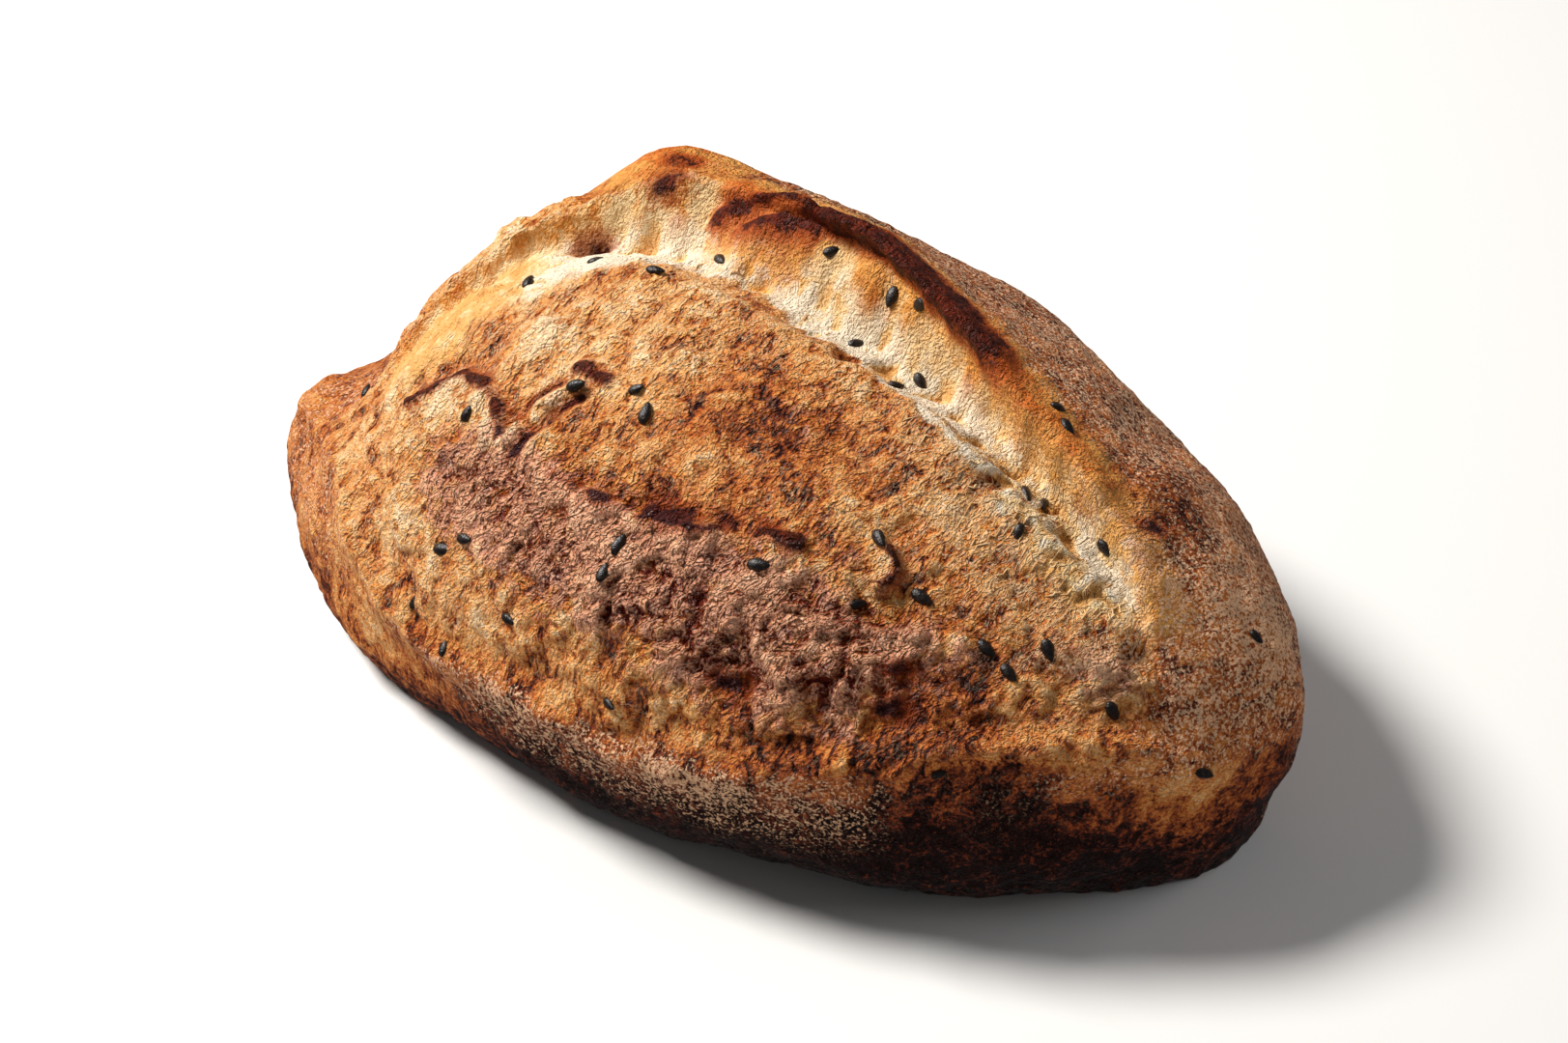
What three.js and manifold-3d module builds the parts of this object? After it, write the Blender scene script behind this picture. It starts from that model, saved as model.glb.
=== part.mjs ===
// A fat sourdough batard as one solid: a flat-based dough body whose long cut has burst open.
//
// The dough body is a smooth form drawn over a unit disc: its centre is the crown, the ring at
// WIDEST is the widest line of the loaf, and its edge is the edge of the flat base. Everything
// that baking did to it is relief on that form: the cut with its raised ear and its valley, the
// lobe and the tongue at the ear's far end, the crisp rim along the near side, the knob of dough
// at the left tip, lumps in the skin, and the seeds that stick out of the burst crumb.
//
// Millimetres, +Z up, +X towards the pointed tip, the ear on the +Y side. The origin is at the
// middle of the base.
import * as THREE from 'three';
import { mergeVertices } from 'three/addons/utils/BufferGeometryUtils.js';
import Module from 'manifold-3d';

const { clamp, lerp, smoothstep } = THREE.MathUtils;

// ---- Dough body ----
const LENGTH = 221;
const NEAR_HALF_WIDTH = 71;
const FAR_HALF_WIDTH = 65.5;
const CROWN = { x: -27.7, y: 12, height: 90, sharpness: 1.75 };
const WIDEST = 0.78;
// Each of these has one value across the middle and one towards each tip.
const WIDEST_HEIGHT = { middle: 30, right: 33, left: 18 };
const SHOULDER = { middle: 1.85, right: 1.7, left: 1.3 };
const TAPER = { middle: 0, right: 0.17, left: 0.07 };
const TIP_Y = { middle: 0, right: -5.3, left: -6.8 };
const BASE_SHRINK = { middle: 0.11, right: 0.035, left: 0.04 };
const FLANK_POWER = 3;
const LEFT_SKEW = 3;

// ---- The cut: its far edge in plan, from the left end round to the right end ----
const CUT = [
  { x: -90, y: -27, lip: 0.2, wall: 6, valley: 13, depth: 0.5 },
  { x: -79, y: -14, lip: 0.8, wall: 6, valley: 20, depth: 3 },
  { x: -66, y: 0, lip: 1.4, wall: 7, valley: 25, depth: 4.5 },
  { x: -50, y: 13, lip: 1.2, wall: 9, valley: 28, depth: 6.5 },
  { x: -31, y: 20, lip: 1.5, wall: 12, valley: 30, depth: 8 },
  { x: -13, y: 20.5, lip: 5.5, wall: 14, valley: 30, depth: 8 },
  { x: 1, y: 19.5, lip: 8.5, wall: 15, valley: 30, depth: 8 },
  { x: 16, y: 16.5, lip: 9, wall: 14, valley: 29, depth: 7.5 },
  { x: 31, y: 10.5, lip: 8, wall: 10.5, valley: 24, depth: 7 },
  { x: 46, y: 4.5, lip: 6, wall: 7.5, valley: 20, depth: 6.5 },
  { x: 60, y: -1, lip: 4.8, wall: 6.5, valley: 18, depth: 6 },
  { x: 74, y: -7, lip: 3.5, wall: 6, valley: 15, depth: 4.5 },
  { x: 86, y: -14, lip: 2, wall: 5, valley: 12, depth: 2.5 },
  { x: 94, y: -25, lip: 0, wall: 5, valley: 9, depth: 0 },
];
const CUT_STEPS = 24;
const EAR = { back: 25, overhang: 0.42, edge: 5, left: -40, right: 87 };

// ---- Bumps and hollows that stand on the dough body ----
const LOBE = { x: -43, y: 27, height: 8, along: 14, across: 10, turn: 0.64 };
const TONGUE = { x: -15, y: 10, height: 4, along: 8, across: 4, turn: 0.8 };
const KNOB = { x: -106, y: -17, z: 25, size: 14, height: 5 };
const LEFT_HOLLOW = { x: -95, y: -10, z: 52, size: 20, height: -4.5 };

// ---- The rim: the near edge of the burst, where the floury skin ends ----
const RIM = { height: 2, width: 4, hollow: 1.4, hollowRise: 9, hollowWidth: 5 };
const RIM_WANDER = { size: 16, share: 0.5, salt: 3 };
// Each step of the rim's height is taken between two directions, given by their cosines.
const RIM_MIDDLE = 28;
const RIM_RIGHT = [
  { rise: 15, from: 0.05, to: 0.72 },
  { rise: -9, from: 0.78, to: 1 },
];
const RIM_LEFT = [
  { rise: 14, from: 0.42, to: 0.78 },
  { rise: -10, from: 0.82, to: 1 },
];
// The rim fades out towards the far side and round the right tip.
const RIM_FADE = { sinFrom: -0.15, sinTo: 0.25, cosFrom: 0.9, cosTo: 1.02 };

// ---- Lumps in the skin ----
const LUMPS = [
  { size: 30, height: 1.3, salt: 1 },
  { size: 14, height: 0.8, salt: 2 },
  { size: 8, height: 0.35, salt: 5 },
];

// ---- Mesh ----
const BASE_EDGE = 1 - 1e-6;
const LEAST_HEIGHT = 0.4;
const COLUMNS = 80;
const ROWS = 60;
const EAR_ROW = 40;
const EAR_CROWDING = 0.3;
const TOP_EDGE = 0.9;
const NORMAL_STEP = 2e-3;
const SEARCH_STEPS = 30;

// ---- Seeds: plan position of each and the direction of its length, in degrees ----
const SEED = { length: 4.2, width: 2.1, thickness: 1.5, sunk: 0.15, sides: 6, rings: 4, reach: 1.5e-2 };
const SEEDS = [
  [-48, -41, 65], [-16, -32, 30], [-12, -35, 100], [-27, -34, 20], [-6, -55, 80],
  [-39, -58, 10], [-44, -59, 0], [-24, -66, -20], [-39, -67, 100], [-49, -63, 60],
  [-6, -59, 90], [1, -70, 10], [21, -49, 30], [39, -36, -20], [50, -40, 10],
  [40, -46, 50], [64, -40, 0], [69, -41, 0], [73, -34, -20], [87, -34, 0],
  [-27, -7, 0], [-43, -4, 20], [-54, -12, 75], [-21, 7, -30], [0, 12, 60],
  [15, 9, -60], [22, 8, 80], [12, 3, 60], [27, 1, -20], [24, -3, 40],
  [56, -11, -30], [59, -10, -70], [60, -21, -60], [74, -12, 0], [55, 4, 70],
  [59, 1, -10], [-92, -23, 90], [101, -5, 10], [102, -27, 20], [63, -55, 30],
];

const CRUST_MATERIAL = new THREE.MeshStandardMaterial({
  color: 0xa8652f,
  roughness: 0.72,
  metalness: 0,
});

/** Hash of three whole numbers, from 0 to 1. */
function hash(ix, iy, iz) {
  let h = (Math.imul(ix, 374761393) + Math.imul(iy, 668265263) + Math.imul(iz, 1274126177)) | 0;
  h = Math.imul(h ^ (h >>> 13), 1103515245);
  return ((h ^ (h >>> 16)) >>> 0) / 4294967295;
}

/** Smooth lattice noise from -1 to 1, with lumps about `size` millimetres across. */
function noise(point, size, salt) {
  const scaled = [point.x, point.y, point.z].map((value) => value / size + salt * 17.13);
  const cell = scaled.map(Math.floor);
  const fade = scaled.map((value, axis) => {
    const f = value - cell[axis];
    return f * f * f * (f * (f * 6 - 15) + 10);
  });
  let total = 0;
  for (let corner = 0; corner < 8; corner += 1) {
    const step = [corner & 1, (corner >> 1) & 1, (corner >> 2) & 1];
    const weight = step.reduce((w, on, axis) => w * (on ? fade[axis] : 1 - fade[axis]), 1);
    total += weight * hash(cell[0] + step[0], cell[1] + step[1], cell[2] + step[2]);
  }
  return total * 2 - 1;
}

/** The square [-1, 1]² laid onto the unit disc, so that the mesh needs no pole. */
function squareToDisc(p, q) {
  return [p * Math.sqrt(1 - (q * q) / 2), q * Math.sqrt(1 - (p * p) / 2)];
}

/** The smooth dough body over the unit disc. */
function doughBody(u, v) {
  const radius = Math.hypot(u, v) + 1e-9;
  const cos = u / radius;
  const sin = v / radius;
  const right = Math.max(cos, 0) ** 2;
  const left = Math.max(-cos, 0) ** 2;
  const vary = (value) =>
    value.middle + (value.right - value.middle) * right + (value.left - value.middle) * left;
  const widest = vary(WIDEST_HEIGHT);
  const over = Math.sin((Math.PI / 2) * Math.min(radius / WIDEST, 1));
  const under = clamp((radius - WIDEST) / (1 - WIDEST), 0, 1);
  const dome = Math.max(1 - over ** CROWN.sharpness, 0) ** (1 / vary(SHOULDER));
  const z = under > 0 ? widest * (1 - under) : widest + (CROWN.height - widest) * dome;
  const reach = over * (1 - vary(BASE_SHRINK) * under ** FLANK_POWER);
  const skew = LEFT_SKEW * reach * sin * Math.max(-cos, 0) ** 1.5;
  const halfWidth = lerp(NEAR_HALF_WIDTH, FAR_HALF_WIDTH, (sin + 1) / 2);
  const x = CROWN.x * (1 - reach) + (LENGTH / 2) * reach * cos + skew;
  const flat = halfWidth * reach * sin * (1 - vary(TAPER));
  const y = CROWN.y * (1 - reach) + flat + reach * vary(TIP_Y);
  return new THREE.Vector3(x, y, z);
}

/** The direction that the dough body faces at a point of the disc. */
function doughNormal(u, v) {
  const across = doughBody(u + NORMAL_STEP, v).sub(doughBody(u - NORMAL_STEP, v));
  const along = doughBody(u, v + NORMAL_STEP).sub(doughBody(u, v - NORMAL_STEP));
  return across.cross(along).normalize();
}

/** Catmull-Rom blend of one named value of four stations. */
function blend(stations, name, t) {
  const [a, b, c, d] = stations.map((station) => station[name]);
  const square = (2 * a - 5 * b + 4 * c - d) * t * t;
  const cube = (3 * b - a - 3 * c + d) * t * t * t;
  return 0.5 * (2 * b + (c - a) * t + square + cube);
}

/** The cut's far edge as closely spaced stations, each with the side that it faces. */
function traceCut() {
  const names = Object.keys(CUT[0]);
  const mirror = (end, next) =>
    Object.fromEntries(names.map((name) => [name, 2 * end[name] - next[name]]));
  const stations = [mirror(CUT[0], CUT[1]), ...CUT, mirror(CUT.at(-1), CUT.at(-2))];
  const line = [];
  for (let i = 0; i + 3 < stations.length; i += 1) {
    for (let k = 0; k < CUT_STEPS; k += 1) {
      const four = stations.slice(i, i + 4);
      line.push(Object.fromEntries(names.map((name) => [name, blend(four, name, k / CUT_STEPS)])));
    }
  }
  line.push({ ...CUT.at(-1) });
  return line.map((station, i) => {
    const before = line[Math.max(i - 1, 0)];
    const after = line[Math.min(i + 1, line.length - 1)];
    const length = Math.hypot(after.x - before.x, after.y - before.y);
    return {
      ...station,
      sideX: -(after.y - before.y) / length,
      sideY: (after.x - before.x) / length,
    };
  });
}

const CUT_LINE = traceCut();

/** The cut's nearest station, and the distance from it: positive behind the ear. */
function nearCut(x, y) {
  let station = CUT_LINE[0];
  let least = Infinity;
  for (const candidate of CUT_LINE) {
    const distance = (x - candidate.x) ** 2 + (y - candidate.y) ** 2;
    if (distance < least) {
      least = distance;
      station = candidate;
    }
  }
  const side = (x - station.x) * station.sideX + (y - station.y) * station.sideY;
  return { station, distance: Math.sqrt(least) * Math.sign(side) };
}

/** A bell-shaped mound in plan, longer along one direction. */
function mound(point, { x, y, height, along, across, turn }) {
  const dx = point.x - x;
  const dy = point.y - y;
  const lengthwise = (dx * Math.cos(turn) + dy * Math.sin(turn)) / along;
  const crosswise = (dy * Math.cos(turn) - dx * Math.sin(turn)) / across;
  return height * Math.exp(-(lengthwise ** 2) - crosswise ** 2);
}

/** A bell-shaped swelling round a point in space. */
function swelling(point, { x, y, z, size, height }) {
  const distance = point.distanceTo(new THREE.Vector3(x, y, z)) / size;
  return height * Math.exp(-(distance ** 2));
}

/** The height at which the rim runs, at a direction seen from the crown. */
function rimLevel(cos) {
  const climb = (steps, value) =>
    steps.reduce((sum, { rise, from, to }) => sum + rise * smoothstep(value, from, to), 0);
  return RIM_MIDDLE + climb(RIM_RIGHT, cos) + climb(RIM_LEFT, -cos);
}

/** Rise along the rim with the hollow just above it. */
function rimRelief(point, cos, sin) {
  const above = point.z - rimLevel(cos);
  const nearSide = 1 - smoothstep(sin, RIM_FADE.sinFrom, RIM_FADE.sinTo);
  const ends = 1 - smoothstep(cos, RIM_FADE.cosFrom, RIM_FADE.cosTo);
  const wander = 1 + RIM_WANDER.share * noise(point, RIM_WANDER.size, RIM_WANDER.salt);
  const crest = RIM.height * wander * Math.exp(-((above / RIM.width) ** 2));
  const hollow = RIM.hollow * Math.exp(-(((above - RIM.hollowRise) / RIM.hollowWidth) ** 2));
  return nearSide * ends * (crest - hollow);
}

/** How far the cut lifts its lip, or sinks its valley, at a distance from its far edge. */
function cutRelief(distance, station) {
  if (distance >= 0) return station.lip * Math.max(1 - distance / EAR.back, 0) ** 2;
  const wall = smoothstep(-distance, 0, station.wall);
  const floor = 1 - smoothstep(-distance, station.wall, station.valley);
  return station.lip * (1 - wall) - station.depth * wall * floor;
}

/** The baked surface over the unit disc. */
function bakedSurface(u, v) {
  const smooth = doughBody(u, v);
  const radius = Math.hypot(u, v) + 1e-9;
  const { station, distance } = nearCut(smooth.x, smooth.y);
  const onTop = 1 - smoothstep(radius / WIDEST, TOP_EDGE, 1);
  let swell = rimRelief(smooth, u / radius, v / radius);
  swell += swelling(smooth, KNOB) + swelling(smooth, LEFT_HOLLOW);
  for (const { size, height, salt } of LUMPS) swell += height * noise(smooth, size, salt);
  const baked = smooth.clone().addScaledVector(doughNormal(u, v), swell);
  baked.z += onTop * (cutRelief(distance, station) + mound(smooth, LOBE) + mound(smooth, TONGUE));
  const overhang = onTop * EAR.overhang * station.lip * Math.exp(-((distance / EAR.edge) ** 2));
  baked.x -= station.sideX * overhang;
  baked.y -= station.sideY * overhang;
  baked.z = radius > BASE_EDGE ? 0 : Math.max(baked.z, LEAST_HEIGHT * smooth.z);
  return baked;
}

/** The ear's y at a given x, carried on level past both ends of the ear. */
function earLine(x) {
  const inReach = clamp(x, EAR.left, EAR.right);
  const right = CUT_LINE.findIndex((station) => station.x > inReach);
  const before = CUT_LINE[right - 1];
  const after = CUT_LINE[right];
  return lerp(before.y, after.y, (inReach - before.x) / (after.x - before.x));
}

/** The row value, in one column of the square, that lies on the ear. */
function earRowOf(p) {
  let low = -1;
  let high = 1;
  for (let k = 0; k < SEARCH_STEPS; k += 1) {
    const middle = (low + high) / 2;
    const point = doughBody(...squareToDisc(p, middle));
    if (point.y < earLine(point.x)) low = middle;
    else high = middle;
  }
  return (low + high) / 2;
}

/** Row values of one column, closer together towards the ear. */
function rowsOf(p) {
  const ear = earRowOf(p);
  const crowd = (t) => t * (1 - EAR_CROWDING) + EAR_CROWDING * t * t;
  return Array.from({ length: ROWS + 1 }, (_, row) =>
    row <= EAR_ROW
      ? ear - (ear + 1) * crowd(1 - row / EAR_ROW)
      : ear + (1 - ear) * crowd((row - EAR_ROW) / (ROWS - EAR_ROW)),
  );
}

/** The grid of the baked surface, closed underneath by the flat base. */
function loafGeometry() {
  const positions = [];
  for (let column = 0; column <= COLUMNS; column += 1) {
    const p = (2 * column) / COLUMNS - 1;
    for (const q of rowsOf(p)) positions.push(...bakedSurface(...squareToDisc(p, q)).toArray());
  }
  const at = (column, row) => column * (ROWS + 1) + row;
  const faces = [];
  for (let column = 0; column < COLUMNS; column += 1) {
    for (let row = 0; row < ROWS; row += 1) {
      const corners = [at(column, row), at(column + 1, row), at(column + 1, row + 1), at(column, row + 1)];
      faces.push(corners[0], corners[1], corners[2], corners[0], corners[2], corners[3]);
    }
  }
  const outline = [];
  for (let column = 0; column < COLUMNS; column += 1) outline.push(at(column, 0));
  for (let row = 0; row < ROWS; row += 1) outline.push(at(COLUMNS, row));
  for (let column = COLUMNS; column > 0; column -= 1) outline.push(at(column, ROWS));
  for (let row = ROWS; row > 0; row -= 1) outline.push(at(0, row));
  const contour = outline.map((i) => new THREE.Vector2(positions[3 * i], positions[3 * i + 1]));
  for (const [a, b, c] of THREE.ShapeUtils.triangulateShape(contour, [])) {
    faces.push(outline[a], outline[c], outline[b]);
  }
  const geometry = new THREE.BufferGeometry();
  geometry.setAttribute('position', new THREE.Float32BufferAttribute(positions, 3));
  geometry.setIndex(faces);
  return geometry;
}

/** One seed at rest: a small drop-shaped body with its long axis along X. */
function seedGeometry() {
  const geometry = new THREE.SphereGeometry(1, SEED.sides, SEED.rings);
  geometry.rotateZ(-Math.PI / 2);
  geometry.scale(SEED.length / 2, SEED.width / 2, SEED.thickness / 2);
  geometry.deleteAttribute('normal');
  geometry.deleteAttribute('uv');
  return mergeVertices(geometry, 1e-4);
}

/** The point of the disc whose dough lies at a place in plan, found by ever smaller steps. */
function discUnder(x, y) {
  const ways = [[1, 0], [-1, 0], [0, 1], [0, -1]];
  const miss = ([u, v]) => {
    const point = doughBody(u, v);
    return Math.hypot(point.x - x, point.y - y);
  };
  let best = [0, 0];
  for (let step = WIDEST / 2; step > NORMAL_STEP / 10; step /= 2) {
    let before;
    do {
      before = best;
      for (const [du, dv] of ways) {
        const next = [best[0] + du * step, best[1] + dv * step];
        if (Math.hypot(...next) < WIDEST && miss(next) < miss(best)) best = next;
      }
    } while (best !== before);
  }
  return best;
}

/** The seeds, each laid onto the baked surface and sunk into it a little. */
function laySeeds() {
  return SEEDS.map(([x, y, degrees]) => {
    const [u, v] = discUnder(x, y);
    const turn = THREE.MathUtils.degToRad(degrees);
    const foot = bakedSurface(u, v);
    const east = bakedSurface(u + SEED.reach, v).sub(bakedSurface(u - SEED.reach, v)).normalize();
    const north = bakedSurface(u, v + SEED.reach).sub(bakedSurface(u, v - SEED.reach));
    const out = east.clone().cross(north).normalize();
    const side = out.clone().cross(east);
    const long = east.clone().multiplyScalar(Math.cos(turn)).addScaledVector(side, Math.sin(turn));
    const wide = out.clone().cross(long);
    const place = new THREE.Matrix4().makeBasis(long, wide, out);
    place.setPosition(foot.clone().addScaledVector(out, -SEED.sunk * SEED.thickness));
    return seedGeometry().applyMatrix4(place);
  });
}

const wasm = await Module();
wasm.setup();

/** A closed indexed geometry as a solid. */
function toSolid(geometry) {
  const merged = mergeVertices(geometry, 1e-5);
  return new wasm.Manifold(
    new wasm.Mesh({
      numProp: 3,
      vertProperties: new Float32Array(merged.attributes.position.array),
      triVerts: new Uint32Array(merged.index.array),
    }),
  );
}

/** A solid as geometry again, moved so that its box stands centred on the origin. */
function toGeometry(solid) {
  const { vertProperties, triVerts } = solid.getMesh();
  const geometry = new THREE.BufferGeometry();
  geometry.setAttribute('position', new THREE.Float32BufferAttribute(vertProperties, 3));
  geometry.setIndex(Array.from(triVerts));
  geometry.computeBoundingBox();
  const middle = geometry.boundingBox.getCenter(new THREE.Vector3());
  geometry.translate(-middle.x, -middle.y, -geometry.boundingBox.min.z);
  geometry.computeVertexNormals();
  return geometry;
}

/** The whole loaf with its seeds joined on. */
function buildLoaf() {
  const solid = laySeeds().reduce((whole, seed) => whole.add(toSolid(seed)), toSolid(loafGeometry()));
  const mesh = new THREE.Mesh(toGeometry(solid), CRUST_MATERIAL);
  mesh.name = 'loaf';
  return mesh;
}

const group = new THREE.Group();
group.add(buildLoaf());

export default group;
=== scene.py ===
"""A fat sourdough batard: one closed crust with its burst cut, its seeds and its pulled crumb.

The crust is a grid laid onto a disc and from there onto the same smooth dough body that the solid
has. What baking did to the dough is relief on that body: the cut with its rolled ear and its pale
valley, the rim of the burst, torn folds, stretch marks, wrinkles and floury lumps. The same fields
are kept on the mesh as attributes, and the finishes read them as colour, gloss and fine grain.

Sizes inside the classes are millimetres; every finished mesh is in metres, in the solid's frame.
"""
import logging
import math
from collections.abc import Iterable, Iterator, Sequence
from dataclasses import dataclass, field
from enum import Enum

import bmesh
import bpy
import numpy as np
from mathutils import Matrix, Vector


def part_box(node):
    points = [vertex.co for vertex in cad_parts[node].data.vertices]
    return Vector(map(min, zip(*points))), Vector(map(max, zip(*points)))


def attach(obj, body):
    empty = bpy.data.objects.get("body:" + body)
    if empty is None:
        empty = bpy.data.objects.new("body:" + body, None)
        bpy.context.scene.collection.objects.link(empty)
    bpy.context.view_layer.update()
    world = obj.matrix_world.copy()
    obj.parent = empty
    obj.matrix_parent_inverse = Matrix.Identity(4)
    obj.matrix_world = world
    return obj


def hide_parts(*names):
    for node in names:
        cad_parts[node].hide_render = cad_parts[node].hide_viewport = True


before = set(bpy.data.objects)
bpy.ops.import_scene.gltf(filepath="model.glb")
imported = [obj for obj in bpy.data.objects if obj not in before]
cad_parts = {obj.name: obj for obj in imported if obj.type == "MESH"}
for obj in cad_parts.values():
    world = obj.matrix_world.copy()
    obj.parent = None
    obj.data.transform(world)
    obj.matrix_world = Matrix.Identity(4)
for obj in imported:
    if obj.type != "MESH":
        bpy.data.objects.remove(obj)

LOG = logging.getLogger("loaf")
MM = 0.001
Array = np.ndarray
Colour = tuple[float, ...]


# ---- Fields: smooth steps, bells and repeatable noise ----


def smooth(values: Array, low: float | Array, high: float | Array) -> Array:
    """Smooth step from 0 at `low` to 1 at `high`."""
    t = np.clip((values - low) / (high - low), 0.0, 1.0)
    return t * t * (3.0 - 2.0 * t)


def bell(values: Array, width: float) -> Array:
    """Bell curve: 1 at zero, about a third at `width`."""
    return np.exp(-((values / width) ** 2))


WORD = 0xFFFFFFFF
CELL_STEPS = (374761393, 668265263, 1274126177)
CELL_MIX = 1103515245


def lattice(cells: Array) -> Array:
    """Repeatable random numbers from 0 to 1 for whole-number cells.

    Args:
        cells: Whole numbers, with x, y and z along the last axis.

    Returns:
        One number for each cell.
    """
    mixed = sum(cells[..., k] * step for k, step in enumerate(CELL_STEPS)) & WORD
    mixed = ((mixed ^ (mixed >> 13)) * CELL_MIX) & WORD
    return (mixed ^ (mixed >> 16)) / WORD


def corners(points: Array) -> Iterator[tuple[Array, Array, Array]]:
    """The eight lattice corners round each point.

    Args:
        points: Points in lattice units.

    Yields:
        For each corner its cells, the offsets from it, and its blend weights.
    """
    cell = np.floor(points).astype(np.int64)
    part = points - cell
    fade = part**3 * (part * (part * 6.0 - 15.0) + 10.0)
    for corner in range(8):
        step = np.array([corner & 1, (corner >> 1) & 1, (corner >> 2) & 1])
        weight = np.prod(np.where(step == 1, fade, 1.0 - fade), axis=-1)
        yield cell + step, part - step, weight


def lumps(points: Array, size: float, salt: int) -> Array:
    """Rounded value noise from -1 to 1, the same as the solid's own lumps.

    Args:
        points: Where the noise is wanted.
        size: Size of the lumps.
        salt: Which noise it is.

    Returns:
        One number for each point.
    """
    total = 0.0
    for cells, _, weight in corners(points / size + salt * 17.13):
        total = total + weight * lattice(cells)
    return total * 2.0 - 1.0


def ripple(points: Array, size: float, salt: int) -> Array:
    """Gradient noise of about -1 to 1, with waves about `size` long.

    Args:
        points: Where the noise is wanted.
        size: Length of the waves.
        salt: Which noise it is.

    Returns:
        One number for each point.
    """
    total = 0.0
    for cells, offset, weight in corners(points / size + salt * 9.71):
        turn = lattice(cells) * 2.0 * math.pi
        rise = lattice(cells + 57) * 2.0 - 1.0
        flat = np.sqrt(1.0 - rise * rise)
        slope = np.stack([flat * np.cos(turn), flat * np.sin(turn), rise], axis=-1)
        total = total + weight * np.sum(slope * offset, axis=-1)
    return total * 1.9


def cloudy(points: Array, size: float, salt: int, octaves: int = 3) -> Array:
    """Several layers of ripple, each half the size and half the strength of the last."""
    return sum(ripple(points, size / 2**k, salt + k) / 2**k for k in range(octaves)) / 1.6


def ridges(points: Array, size: float, salt: int) -> Array:
    """Sharp crests of 1 between hollows of 0."""
    return 1.0 - np.minimum(np.abs(ripple(points, size, salt)) * 1.7, 1.0)


def puffs(points: Array, size: float, salt: int) -> Array:
    """Rounded puffs between sharp creases: about 0 in the creases and 1 on top."""
    return np.minimum(np.abs(ripple(points, size, salt)) * 2.4, 1.0) ** 0.8


def turned(x: Array, y: Array, angle: float) -> tuple[Array, Array]:
    """Plan offsets measured along a direction, given in radians from +X, and across it."""
    cos, sin = math.cos(angle), math.sin(angle)
    return x * cos + y * sin, y * cos - x * sin


def grain(points: Array, turn: float, pull: float) -> Array:
    """Points squeezed so that noise on them runs in long marks.

    Args:
        points: Points on the dough body.
        turn: Direction of the marks in plan, in degrees from +X.
        pull: How many times longer than wide the marks are.

    Returns:
        The squeezed points.
    """
    along, across = turned(points[..., 0], points[..., 1], math.radians(turn))
    return np.stack([along / pull, across, points[..., 2] / pull], axis=-1)


# ---- The smooth dough body ----


@dataclass(frozen=True)
class Span:
    """A size that differs between the loaf's middle and its two tips."""

    middle: float
    right: float
    left: float

    def at(self, cos: Array) -> Array:
        """The size in each direction from the crown, given by its cosine.

        Args:
            cos: The cosine of each direction, 1 towards the right tip.

        Returns:
            One size for each.
        """
        right = np.maximum(cos, 0.0) ** 2
        left = np.maximum(-cos, 0.0) ** 2
        return self.middle + (self.right - self.middle) * right + (self.left - self.middle) * left


@dataclass(frozen=True)
class Dough:
    """The smooth flat-based body, drawn over a unit disc whose centre is the crown."""

    length: float = 221.0
    near_half_width: float = 71.0
    far_half_width: float = 65.5
    crown: tuple[float, float, float] = (-27.7, 12.0, 90.0)
    sharpness: float = 1.75
    widest: float = 0.78
    widest_height: Span = Span(30.0, 33.0, 18.0)
    shoulder: Span = Span(1.85, 1.7, 1.3)
    taper: Span = Span(0.0, 0.17, 0.07)
    tip_y: Span = Span(0.0, -5.3, -6.8)
    base_shrink: Span = Span(0.11, 0.035, 0.04)
    flank_power: float = 3.0
    left_skew: float = 3.0

    def point(self, u: Array, v: Array) -> Array:
        """The body's points over points of the disc.

        Args:
            u: First coordinate on the unit disc.
            v: Second coordinate on the unit disc.

        Returns:
            Points in millimetres, with x, y and z along the last axis.
        """
        radius = np.hypot(u, v) + 1e-9
        cos, sin = u / radius, v / radius
        crown_x, crown_y, crown_z = self.crown
        widest = self.widest_height.at(cos)
        over = np.sin(np.pi / 2 * np.minimum(radius / self.widest, 1.0))
        under = np.clip((radius - self.widest) / (1.0 - self.widest), 0.0, 1.0)
        dome = np.maximum(1.0 - over**self.sharpness, 0.0) ** (1.0 / self.shoulder.at(cos))
        reach = over * (1.0 - self.base_shrink.at(cos) * under**self.flank_power)
        half = self.near_half_width + (self.far_half_width - self.near_half_width) * (sin + 1.0) / 2
        skew = self.left_skew * reach * sin * np.maximum(-cos, 0.0) ** 1.5
        x = crown_x * (1.0 - reach) + self.length / 2 * reach * cos + skew
        flat = half * reach * sin * (1.0 - self.taper.at(cos))
        y = crown_y * (1.0 - reach) + flat + reach * self.tip_y.at(cos)
        z = np.where(under > 0.0, widest * (1.0 - under), widest + (crown_z - widest) * dome)
        return np.stack([x, y, z], axis=-1)

    def facing(self, u: Array, v: Array, step: float = 2e-3) -> Array:
        """The directions that the body faces over points of the disc.

        Args:
            u: First coordinate on the unit disc.
            v: Second coordinate on the unit disc.
            step: How far apart the body is felt for its slope.

        Returns:
            One unit vector for each point.
        """
        across = self.point(u + step, v) - self.point(u - step, v)
        along = self.point(u, v + step) - self.point(u, v - step)
        normal = np.cross(across, along)
        return normal / (np.linalg.norm(normal, axis=-1, keepdims=True) + 1e-12)


def to_disc(p: Array, q: Array) -> tuple[Array, Array]:
    """The square from -1 to 1 laid onto the unit disc, so that the grid needs no pole."""
    return p * np.sqrt(1.0 - q * q / 2), q * np.sqrt(1.0 - p * p / 2)


# ---- The cut and what stands on the dough ----


@dataclass(frozen=True)
class Station:
    """One place on the cut's far edge, with the shape of the cut there."""

    x: float
    y: float
    lip: float
    wall: float
    valley: float
    depth: float


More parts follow.
